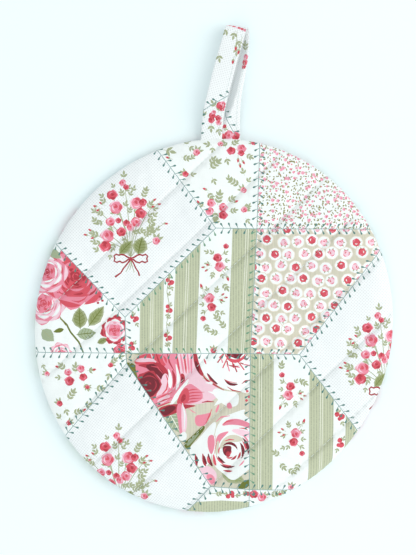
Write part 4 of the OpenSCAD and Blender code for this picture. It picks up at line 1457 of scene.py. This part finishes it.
def quilting_row(number):
    """Stitches of one quilting row, which show on the front and on the back."""
    shift = number - MIDDLE_ROW
    middle = (ROW_OFFSET + shift * ROW_PITCH) * ACROSS
    paths, normals = [], []
    for k in range(-STITCHES_EACH_WAY, STITCHES_EACH_WAY + 1):
        centre = k * STITCH_PITCH - ROW_STAGGER * shift
        steps = centre + np.linspace(-0.5, 0.5, STITCH_POINTS) * STITCH_LENGTH
        flat = middle + steps[:, None] * ALONG
        if inset_from_rim(flat).min() < STITCH_FROM_RIM:
            continue
        top = front_surface(flat)
        top[:, 2] += QUILT_DIP
        paths.append(top)
        normals.append(np.array([0, 0, 1.0]))
        under = back_surface(flat + 0.5 * STITCH_PITCH * ALONG)
        if inset_from_rim(under[:, :2]).min() < STITCH_FROM_RIM:
            continue
        under[:, 2] = np.maximum(under[:, 2] - QUILT_DIP, THREAD_RADIUS)
        paths.append(under)
        normals.append(np.array([0, 0, -1.0]))
    return stitches(f"quilting_row_{number}_thread", paths, normals)


# ---------------------------------------------------------------- hanging loop

STRIP_WIDTH = 11.4
LAYER_GAP = 0.33
FOLD_RADIUS = 0.5
RAW_EDGE_INSET = 0.4
INNER_TURN_STEPS = 6
OUTER_TURN_STEPS = 12
TOP_BEND = 3.25
TOP_BEND_STEPS = 8


def folded_profile():
    """Cross-section of the strip, folded in four, as points across the width and through the thickness."""
    edge = STRIP_WIDTH / 2 - LAYER_GAP / 2
    left = -STRIP_WIDTH / 2 + FOLD_RADIUS
    turn = LAYER_GAP / 2

    def half_turn(x, y, radius, start, steps):
        angles = [start + math.pi * k / steps for k in range(steps + 1)]
        return [(x + radius * math.cos(a), y + radius * math.sin(a)) for a in angles]

    return np.array([
        (left + RAW_EDGE_INSET, FOLD_RADIUS - LAYER_GAP),
        *half_turn(edge, FOLD_RADIUS - turn, turn, -math.pi / 2, INNER_TURN_STEPS),
        *half_turn(left, 0, FOLD_RADIUS, math.pi / 2, OUTER_TURN_STEPS),
        *half_turn(edge, turn - FOLD_RADIUS, turn, -math.pi / 2, INNER_TURN_STEPS),
        (left + RAW_EDGE_INSET, LAYER_GAP - FOLD_RADIUS),
    ])


PROFILE = folded_profile()
PROFILE_LENGTH = np.concatenate([[0], np.cumsum(np.linalg.norm(np.diff(PROFILE, axis=0), axis=1))])
OUTER_START = INNER_TURN_STEPS + 1
OUTER_MIDDLE = 0.5 * (PROFILE_LENGTH[OUTER_START] + PROFILE_LENGTH[OUTER_START + 1])
STRIP_CUT = float(PROFILE_LENGTH[-1])


def loop_path():
    """Middle line of the strip, from inside the pad up the front leg, over the top and down the back leg."""
    top = 157.8
    points = [(-2.2, 95.0, 4.0), (-1.6, 99.0, 4.0), (-1.2, 103.1, 4.4), (-1.0, 107.2, 5.3),
              (-0.2, 114.5, 7.1), (1.5, 122.5, 8.2), (4.0, 132.5, 8.4), (6.9, 143.5, 8.2), (9.7, 153.0, 8.1),
              (11.0, top, 8.0)]
    for k in range(1, TOP_BEND_STEPS):
        a = math.pi * k / TOP_BEND_STEPS
        points.append((11.0 + 2.6 * k / TOP_BEND_STEPS, top + TOP_BEND * math.sin(a),
                       4.8 + TOP_BEND * math.cos(a)))
    points += [(13.6, top, 1.6), (13.2, 150.0, 1.5), (12.6, 143.0, 1.5), (11.2, 135.0, 1.5),
               (9.5, 126.0, 1.5), (8.6, 116.0, 1.6), (8.4, 109.0, 2.2), (8.5, 103.1, 2.9), (8.8, 99.0, 3.3),
               (9.0, 95.0, 3.3)]
    return np.array(points)


SPLINE_STEPS = 12


def smooth_line(points, count):
    """Evenly spaced points on a smooth line through points."""
    closed = np.concatenate([2 * points[:1] - points[1:2], points, 2 * points[-1:] - points[-2:-1]])
    found = []
    for p0, p1, p2, p3 in zip(closed, closed[1:], closed[2:], closed[3:], strict=False):
        for t in np.linspace(0, 1, SPLINE_STEPS, endpoint=False):
            found.append(0.5 * (2 * p1 + (p2 - p0) * t + (2 * p0 - 5 * p1 + 4 * p2 - p3) * t**2
                                + (3 * p1 - p0 - 3 * p2 + p3) * t**3))
    found.append(points[-1])
    found = np.array(found)
    length = np.concatenate([[0], np.cumsum(np.linalg.norm(np.diff(found, axis=0), axis=1))])
    even = np.linspace(0, length[-1], count)
    return np.column_stack([np.interp(even, length, found[:, k]) for k in range(3)]), float(length[-1])


LINE_POINTS = 500
LOOP_LINE, LOOP_LENGTH = smooth_line(loop_path(), LINE_POINTS)
LOOP_TOP_AT = float(np.argmax(LOOP_LINE[:, 1])) / (LINE_POINTS - 1) * LOOP_LENGTH
FRONT_LEAN = math.radians(12.8)
BACK_LEAN = math.radians(5.5)
LEAN_CHANGE = 8
CUP_HEIGHT = 0.35
# The crease in the back leg: where it comes and goes, its place across the strip and its two sides
CREASE_COMES = (2, 16)
CREASE_GOES = (8, 22)
CREASE_AT = (0, 16, 25, 37, 44, 56)
CREASE_OVER = (5.2, 4.8, 3.5, 2.7, 1.4, -1.9)
CREASE_SQUEEZE = 0.15
STEEP_LENGTH = 5.8
STEEP_TILT = math.radians(58)
GENTLE_TILT = math.radians(9)


def ease(value, low, high):
    """Smooth step from 0 at low to 1 at high."""
    t = np.clip((value - low) / (high - low), 0, 1)
    return t * t * (3 - 2 * t)


def strip_directions(distance, nudge=0.6):
    """Middle line of the strip at a distance along it, with the directions across the strip and out of it."""
    length_at = np.linspace(0, LOOP_LENGTH, LINE_POINTS)

    def on_line(at):
        return np.column_stack([np.interp(at, length_at, LOOP_LINE[:, k]) for k in range(3)])

    along = on_line(distance + nudge) - on_line(distance - nudge)
    along /= np.linalg.norm(along, axis=1)[:, None]
    turned = ease(distance, LOOP_TOP_AT - LEAN_CHANGE, LOOP_TOP_AT + LEAN_CHANGE)
    lean = FRONT_LEAN + (BACK_LEAN - FRONT_LEAN) * turned
    wide = np.column_stack([np.cos(lean), -np.sin(lean), np.zeros(len(distance))])
    wide -= (wide * along).sum(axis=1)[:, None] * along
    wide /= np.linalg.norm(wide, axis=1)[:, None]
    return on_line(distance), wide, np.cross(wide, along)


def loop_surface(flat):
    """Place in millimetres of the strip's cloth. x is across, 0 in the middle of the outer layer, and y is
    the distance along the strip. The back leg stands on a soft crease, so its left part faces away from
    the light."""
    line, wide, out = strip_directions(flat[:, 1])
    place = OUTER_MIDDLE - flat[:, 0]
    u = np.interp(place, PROFILE_LENGTH, PROFILE[:, 0])
    v = np.interp(place, PROFILE_LENGTH, PROFILE[:, 1])
    past_top = flat[:, 1] - LOOP_TOP_AT
    to_end = LOOP_LENGTH - flat[:, 1]
    creased = ease(past_top, *CREASE_COMES) * ease(to_end, *CREASE_GOES)
    crease = np.interp(past_top, CREASE_AT, CREASE_OVER)
    steep = np.clip(crease - u, 0, STEEP_LENGTH)
    level = np.maximum(crease - u - STEEP_LENGTH, 0)
    right = np.maximum(u - crease, 0)
    tilt_left = STEEP_TILT * creased
    tilt_right = GENTLE_TILT * creased
    across = crease - steep * np.cos(tilt_left) - level + right * np.cos(tilt_right)
    drop = steep * np.sin(tilt_left) + right * np.sin(tilt_right)
    lift = creased * STEEP_LENGTH * math.sin(STEEP_TILT)
    cup = CUP_HEIGHT * (1 - (u / (STRIP_WIDTH / 2)) ** 2) * (1 - creased)
    height = v * (1 - creased * CREASE_SQUEEZE) + cup - (lift - drop)
    across = np.where(creased > 0, across * creased + u * (1 - creased), u)
    return line + across[:, None] * wide + height[:, None] * out


def strip_print():
    """Print on the strip's cut: piqué with a printed seam and roses, where the photograph shows them."""
    design = Design()
    low, high = OUTER_MIDDLE - STRIP_CUT, OUTER_MIDDLE
    edge = [(low - 1, -1), (high + 1, -1), (high + 1, LOOP_LENGTH + 1), (low - 1, LOOP_LENGTH + 1)]
    design.start_patch(edge, "pique", "pique", math.radians(30))
    pen = Pen(design)
    dice = design.random
    for y in (16, 31, 58, 74, 92, 106, 121):
        for x in (-26, 10.5):
            pen.spray((x + dice.uniform(-3, 3), y + dice.uniform(-4, 4)), dice.uniform(0, TAU), 2, 1.0)
    pen.like_sprays([(0.6, 23.5, 2.4), (2.0, 21.0, 1.4), (-0.8, 14.5, -1.5), (3.4, 13.0, -1.4),
                     (-4.6, 17.0, 2.0), (2.0, 62.0, -0.9), (0.0, 66.0, -1.6), (-3.6, 66.0, -2.2),
                     (3.4, 58.0, -1.4), (-5.2, 52.0, -1.2)], pairs=1, size=1.1)
    pen.stroke([(1.0, 66), (2.4, 60), (2.6, 55)], 0.35, "leaf")
    pen.stroke([(4.6, 64), (4.4, 59), (4.8, 55)], 0.35, "leaf")
    pen.buds([(2.8, 57.0, -1.4), (4.8, 55.5, -1.5), (3.4, 49.5, -1.5)], size=1.0)
    roses = [
        (2.9, 25.0, 2.6, "red"), (3.8, 26.4, 1.6, "pink"), (3.9, 23.4, 1.4, "red"), (-0.6, 18.9, 2.0, "red"),
        (-0.9, 16.4, 1.9, "red"), (-0.2, 20.8, 1.4, "pink"), (2.8, 17.9, 1.9, "red"),
        (3.1, 15.4, 1.7, "pink"),
    ]
    for x, y, r, tone in roses:
        pen.rose((x, y), r, tone, turn=y)
    for y in (8.6, 13.6, 18.4):
        pen.leaf((-6.4, y), 2.4, 1.2, 0.4, "teal")
    pen.put([(-9, 68.6), (6.5, 66.8), (6.5, 68.4), (-9, 69.8)], "pink_light")
    for x in (-3.6, -1.4, 1.6, 3.4, 5.0):
        pen.blob((x, 68.6 - 0.1 * x), 1.0, "coral" if x < 4 else "pink", lobes=3, depth=0.2, count=8)
    back = LOOP_LENGTH
    for x, y, r, tone in ((-15.4, back - 7.5, 2.6, "red"), (-11.6, back - 8.2, 2.7, "pink"),
                          (-8.2, back - 7.0, 2.3, "red")):
        pen.rose((x, y), r, tone, turn=x)
    berries(Pen(design, (-8.6, back - 12.4), turn=1.2, size=0.8), 0.4)
    for y, r, tone in ((92.6, 1.5, "red"), (90.4, 2.0, "red"), (87.6, 1.9, "pink")):
        pen.rose((-15.9, y), r, tone, turn=y)
    pen.spray((-15.4, 85.0), -1.6, 2, 1.1)
    blanket_stitches(design, (8, 33.5), (-8, 18.9), (None, "teal"))
    blanket_stitches(design, (-7.2, back - 22), (-15.6, back - 7.6), ("teal", None))
    return design


END_POINTS, SIDE_POINTS = 30, 90
COLUMN_START, COLUMN_STEP, COLUMN_FROM_FOLD = 0.9, 1.2, 0.4
LINE_START, LINE_GAP = 0.7, 1.1


def hanging_loop():
    """The strip, as one printed cut with columns of points on its folds, laid over the folded form."""
    low, high = OUTER_MIDDLE - STRIP_CUT, OUTER_MIDDLE
    corners = [(low, 0), (high, 0), (high, LOOP_LENGTH), (low, LOOP_LENGTH)]
    sides = zip(corners, corners[1:] + corners[:1], (END_POINTS, SIDE_POINTS) * 2, strict=True)
    outline = np.concatenate([np.linspace(start, end, count, endpoint=False) for start, end, count in sides])
    folds = OUTER_MIDDLE - PROFILE_LENGTH[1:-1]
    flats = np.arange(low + COLUMN_START, high, COLUMN_STEP)
    columns = np.concatenate([folds, flats[np.abs(flats[:, None] - folds).min(axis=1) > COLUMN_FROM_FOLD]])
    rows = np.arange(LINE_START, LOOP_LENGTH, LINE_GAP)
    relief = np.array([(x, y) for y in rows for x in columns])
    cut = printed_cut(strip_print(), outline, relief)
    return lay_sheet("hanging_loop_strip", cut, loop_surface, quilted=False)


TOPSTITCH_INSET = 1.6
TOPSTITCH_START = 9
TOPSTITCH_ENDS = 16
# Cloth that the outer turn takes beyond its width, as a share of its radius
TURN_EXTRA = 1.14


def loop_topstitch():
    """Stitches that close the strip, beside its open edge, on the outer and on the inner face."""
    paths, normals = [], []
    outer = STRIP_WIDTH / 2 - TOPSTITCH_INSET
    inner = -(STRIP_WIDTH * 1.5 + FOLD_RADIUS * TURN_EXTRA - TOPSTITCH_INSET)
    for k in range(int((LOOP_LENGTH - TOPSTITCH_ENDS) / STITCH_PITCH)):
        steps = TOPSTITCH_START + k * STITCH_PITCH + np.linspace(0, 1, STITCH_POINTS) * STITCH_LENGTH
        for column in (outer, inner):
            flat = np.column_stack([np.full(STITCH_POINTS, column), steps])
            out = ways_out(loop_surface, flat, nudge=0.3)
            paths.append(loop_surface(flat) + out * TOPSTITCH_DIP[:, None])
            normals.append(out[2])
    return stitches("loop_topstitch_thread", paths, normals)


# ---------------------------------------------------------------- materials


SHEEN_ROUGHNESS = 0.5
BUMP_STRENGTH = 0.8
ROUGHNESS_SWING = 0.18
PIQUE_PITCH = 2.4
RIB_PITCH = 1.45
THREAD_PITCH = 0.42


class Nodes:
    """Short way to write a material's node tree."""

    def __init__(self, name, roughness_base, specular, sheen):
        self.material = bpy.data.materials.new(name)
        self.material.use_nodes = True
        self.tree = self.material.node_tree
        self.shader = self.tree.nodes["Principled BSDF"]
        self.shader.inputs["Specular IOR Level"].default_value = specular
        self.shader.inputs["Sheen Weight"].default_value = sheen
        self.shader.inputs["Sheen Roughness"].default_value = SHEEN_ROUGHNESS
        self.roughness_base = roughness_base

    def add(self, kind, **values):
        node = self.tree.nodes.new(kind)
        for key, value in values.items():
            setattr(node, key, value)
        return node

    def join(self, output, socket):
        self.tree.links.new(output, socket)

    def math(self, operation, a, b=None, c=None):
        """Output of a calculation on sockets or plain numbers."""
        node = self.add("ShaderNodeMath", operation=operation)
        for socket, value in zip(node.inputs, (a, b, c), strict=False):
            if isinstance(value, (int, float)):
                socket.default_value = value
            elif value is not None:
                self.join(value, socket)
        return node.outputs[0]

    def attribute(self, name, output):
        return self.add("ShaderNodeAttribute", attribute_name=name).outputs[output]

    def separate(self, vector):
        node = self.add("ShaderNodeSeparateXYZ")
        self.join(vector, node.inputs[0])
        return node.outputs

    def on_piece(self):
        """Place on the piece itself."""
        return self.add("ShaderNodeTexCoord").outputs["Object"]

    def noise(self, vector, scale, detail, stretch=(1, 1, 1)):
        """Soft noise from 0 to 1, finer for a larger scale."""
        mapping = self.add("ShaderNodeMapping")
        mapping.inputs["Scale"].default_value = stretch
        self.join(vector, mapping.inputs["Vector"])
        node = self.add("ShaderNodeTexNoise")
        node.inputs["Scale"].default_value = scale
        node.inputs["Detail"].default_value = detail
        self.join(mapping.outputs[0], node.inputs["Vector"])
        return node.outputs["Fac"]

    def two_tones(self, first, second, factor):
        """Mix of two sRGB colours."""
        mix = self.add("ShaderNodeMix", data_type="RGBA")
        self.join(factor, mix.inputs["Factor"])
        mix.inputs["A"].default_value = (*linear(first), 1)
        mix.inputs["B"].default_value = (*linear(second), 1)
        return mix.outputs["Result"]

    def shade(self, colour, factor):
        """Colour multiplied by a factor."""
        node = self.add("ShaderNodeVectorMath", operation="SCALE")
        self.join(colour, node.inputs[0])
        self.join(factor, node.inputs["Scale"])
        return node.outputs[0]

    def finish(self, colour, height, distance, rough):
        """Joins colour, bump height and roughness variation to the shader."""
        self.join(colour, self.shader.inputs["Base Color"])
        bump = self.add("ShaderNodeBump")
        bump.inputs["Strength"].default_value = BUMP_STRENGTH
        bump.inputs["Distance"].default_value = distance
        self.join(height, bump.inputs["Height"])
        self.join(bump.outputs[0], self.shader.inputs["Normal"])
        roughness = self.math("MULTIPLY_ADD", rough, ROUGHNESS_SWING, self.roughness_base)
        self.join(roughness, self.shader.inputs["Roughness"])
        return self.material


def printed_cotton():
    """Plain-weave cotton. The ink, the kind of ground and the painted shade in the quilting creases come
    with the mesh, and the weave follows the cloth."""
    n = Nodes("printed_cotton", roughness_base=0.74, specular=0.25, sheen=0.12)
    ink = n.attribute("ink", "Color")
    pique, rib, streak = n.separate(n.attribute("ground", "Vector"))
    weave = n.attribute("weave", "Vector")
    painted_crease_shade = n.attribute("painted_crease_shade", "Fac")
    x, y, _ = n.separate(weave)

    def wave(value, pitch):
        return n.math("SINE", n.math("MULTIPLY_ADD", value, TAU / pitch, 0.0))

    def centred(value):
        return n.math("SUBTRACT", value, 0.5)

    dots = n.math("MULTIPLY", wave(x, PIQUE_PITCH), wave(y, PIQUE_PITCH))
    dots = n.math("MULTIPLY", n.math("MULTIPLY", dots, dots), pique)
    ribs = n.math("POWER", n.math("MULTIPLY_ADD", wave(x, RIB_PITCH), 0.5, 0.5), 2.5)
    breaks = n.math("MULTIPLY_ADD", n.noise(weave, 1.0, detail=2.0, stretch=(0.7, 1.6, 1)), 2.4, -0.5)
    ribs = n.math("MULTIPLY", n.math("MULTIPLY", ribs, breaks), rib)
    streaks = n.noise(weave, 1.0, detail=2.0, stretch=(1.1, 0.06, 1))
    streaks = n.math("MULTIPLY", centred(streaks), streak)
    threads = n.math("MULTIPLY", wave(x, THREAD_PITCH), wave(y, THREAD_PITCH))
    slubs_x = n.noise(weave, 1.0, detail=2.0, stretch=(0.12, 2.6, 1))
    slubs_y = n.noise(weave, 1.0, detail=2.0, stretch=(2.6, 0.12, 1))
    blotch = n.noise(weave, 0.035, detail=4.0)
    speckle = n.noise(weave, 2.2, detail=2.0)
    # The last weight paints shade into the creases beside the quilting rows
    shades = [
        (dots, -0.21), (ribs, -0.34), (streaks, 0.42), (threads, 0.035), (centred(slubs_x), 0.07),
        (centred(slubs_y), 0.07), (centred(blotch), 0.10), (centred(speckle), 0.10), (painted_crease_shade, -0.15),
    ]
    factor = 1.0
    for part, weight in shades:
        factor = n.math("MULTIPLY_ADD", part, weight, factor)
    height = n.math("MULTIPLY_ADD", slubs_x, 0.8, n.math("MULTIPLY_ADD", slubs_y, 0.8, threads))
    height = n.math("MULTIPLY_ADD", dots, -1.2, height)
    return n.finish(n.shade(ink, factor), height, distance=0.00005, rough=speckle)


def matted(name, tones, scale, distance, sheen):
    """Felt or wadding: tangled fibres in two close tones."""
    n = Nodes(name, roughness_base=0.80, specular=0.15, sheen=sheen)
    place = n.on_piece()
    fibres = n.noise(place, scale, detail=8.0, stretch=(1, 1, 2.5))
    clumps = n.noise(place, scale / 9, detail=3.0)
    factor = n.math("MULTIPLY_ADD", fibres, 0.7, n.math("MULTIPLY", clumps, 0.3))
    return n.finish(n.two_tones(*tones, factor), n.math("ADD", fibres, clumps), distance, rough=clumps)


def sewing_thread():
    """Twisted cotton thread, off-white with a slight sheen."""
    n = Nodes("sewing_thread", roughness_base=0.55, specular=0.35, sheen=0.2)
    place = n.on_piece()
    twist = n.add("ShaderNodeTexWave", wave_type="BANDS", bands_direction="DIAGONAL")
    twist.inputs["Scale"].default_value = 900
    twist.inputs["Distortion"].default_value = 1.5
    n.join(place, twist.inputs["Vector"])
    fuzz = n.noise(place, 2500, detail=4.0)
    bands = twist.outputs["Fac"]
    factor = n.math("MULTIPLY_ADD", bands, 0.6, n.math("MULTIPLY", fuzz, 0.4))
    colour = n.two_tones((208, 218, 215), (238, 243, 241), factor)
    return n.finish(colour, bands, distance=0.00006, rough=fuzz)


def floor_finish():
    """Smooth pale floor with the faintest mottling."""
    n = Nodes("pale_floor", roughness_base=0.72, specular=0.2, sheen=0.0)
    cloudy = n.noise(n.on_piece(), 3.0, detail=3.0)
    colour = n.two_tones((241, 250, 251), (245, 252, 253), cloudy)
    return n.finish(colour, cloudy, distance=0.00001, rough=cloudy)


# ---------------------------------------------------------------- putting it together

COTTON = printed_cotton()
WADDING = matted("polyester_wadding", ((222, 224, 222), (250, 250, 248)), scale=700, distance=0.0003,
                 sheen=0.3)
FELT = matted("heat_felt_fibres", ((150, 156, 160), (196, 200, 204)), scale=1100, distance=0.0001, sheen=0.2)
THREAD = sewing_thread()

OUTLINE_POINTS = 360


def finish_piece(piece, material, slot, nodes):
    """Gives a piece its material and hides the CAD nodes it replaces; its slot is not used."""
    piece.data.materials.append(material)
    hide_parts(*nodes)


def blend_at_fold(piece):
    """Bakes a piece's placement into its mesh."""
    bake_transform(piece)


def blend_at_loop(piece):
    """Bakes a piece's placement into its mesh."""
    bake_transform(piece)


def make_covers():
    """Front and back cover, of one printed cut that is turned over for the back."""
    cut = printed_cut(patchwork(), outline_points(OUTLINE_POINTS, CLOTH_GROW), relief_points())
    front = lay_sheet("front_cover", cut, front_surface)
    back = lay_sheet("back_cover", turned_over(cut), back_surface, flip=True)
    for piece, side in ((front, "front"), (back, "back")):
        finish_piece(piece, COTTON, "printed_cotton", (f"{side}_cover_main", f"{side}_cover_flap"))
        blend_at_fold(piece)


def turned_over(cut):
    """The same cloth laid face down: mirrored in the pad's long axis, which keeps its outline."""
    flat = cut["flat"]
    mirrored = 2 * (flat @ LONG_DIR)[:, None] * LONG_DIR - flat
    return {**cut, "flat": mirrored, "corners": cut["corners"][:, ::-1]}


def make_filling():
    """Wadding, felt and wadding, between shares of the height inside the pad."""
    for name, low, high, material, slot in (
        ("back_wadding", 0.02, 0.24, WADDING, "wadding"),
        ("heat_felt", 0.26, 0.58, FELT, "heat_felt"),
        ("front_wadding", 0.60, 0.98, WADDING, "wadding"),
    ):
        piece = filling_layer(f"{name}_layer", low, high)
        finish_piece(piece, material, slot, (f"{name}_main", f"{name}_flap"))
        blend_at_fold(piece)


def make_threads():
    """Quilting rows, and the thread material for the seams that stay as in the CAD."""
    for number in range(1, ROW_COUNT + 1):
        piece = quilting_row(number)
        finish_piece(piece, THREAD, "thread", (f"quilt_row_{number}",))
        if number == MIDDLE_ROW:
            blend_at_fold(piece)
        else:
            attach(piece, "pad_main" if number < MIDDLE_ROW else "pad_flap")
    for node in ("rim_seam_main", "rim_seam_flap", "closing_stitches"):
        seam = bpy.data.objects[node]
        seam.data.materials.clear()
        seam.data.materials.append(THREAD)


def make_loop():
    """The hanging loop and the stitches that close it."""
    strip = hanging_loop()
    finish_piece(strip, COTTON, "printed_cotton", ("hanging_loop", "loop_ends"))
    blend_at_loop(strip)
    stitching = loop_topstitch()
    finish_piece(stitching, THREAD, "thread", ("loop_topstitch",))
    blend_at_loop(stitching)


def make_stage():
    """Pale floor under the pad."""
    floor_mesh = bpy.data.meshes.new("floor")
    reach = 3.0
    corners = [(-reach, -reach, 0), (reach, -reach, 0), (reach, reach, 0), (-reach, reach, 0)]
    floor_mesh.from_pydata(corners, [], [(0, 1, 2, 3)])
    floor = link("floor", floor_mesh)
    floor_mesh.materials.append(floor_finish())


def area_light(name, at, target, size, power, colour):
    """Square light at a place, turned to its target."""
    data = bpy.data.lights.new(name, "AREA")
    data.size = size
    data.energy = power
    data.color = colour
    lamp = link(name, data)
    lamp.location = at
    lamp.rotation_euler = (Vector(target) - Vector(at)).to_track_quat("-Z", "Y").to_euler()


VIEW_CENTRE = (-0.0032, 0.0259)
VIEW_HEIGHT = 0.2997
CAMERA_HEIGHT = 1.5


def make_view():
    """Soft light from the right, and a camera straight above, as in the photograph."""
    middle = (0, 0.02, 0)
    area_light("key", (1.12, 0.22, 0.95), middle, size=1.2, power=7.7, colour=(1.0, 0.985, 0.97))
    area_light("fill", (-0.3, -0.9, 1.0), middle, size=1.2, power=3.4, colour=(0.92, 0.98, 1.0))
    world = bpy.data.worlds.new("studio")
    world.use_nodes = True
    backdrop = world.node_tree.nodes["Background"]
    backdrop.inputs["Color"].default_value = (0.90, 0.985, 1.0, 1)
    backdrop.inputs["Strength"].default_value = 0.845
    scene = bpy.context.scene
    scene.world = world
    scene.view_settings.view_transform = "Standard"
    data = bpy.data.cameras.new("camera")
    data.lens = data.sensor_width * (CAMERA_HEIGHT - PAD_TOP * MM) / VIEW_HEIGHT
    camera = link("camera", data)
    camera.location = (*VIEW_CENTRE, CAMERA_HEIGHT)
    scene.camera = camera


make_view()
make_stage()
make_covers()
make_filling()
make_threads()
make_loop()
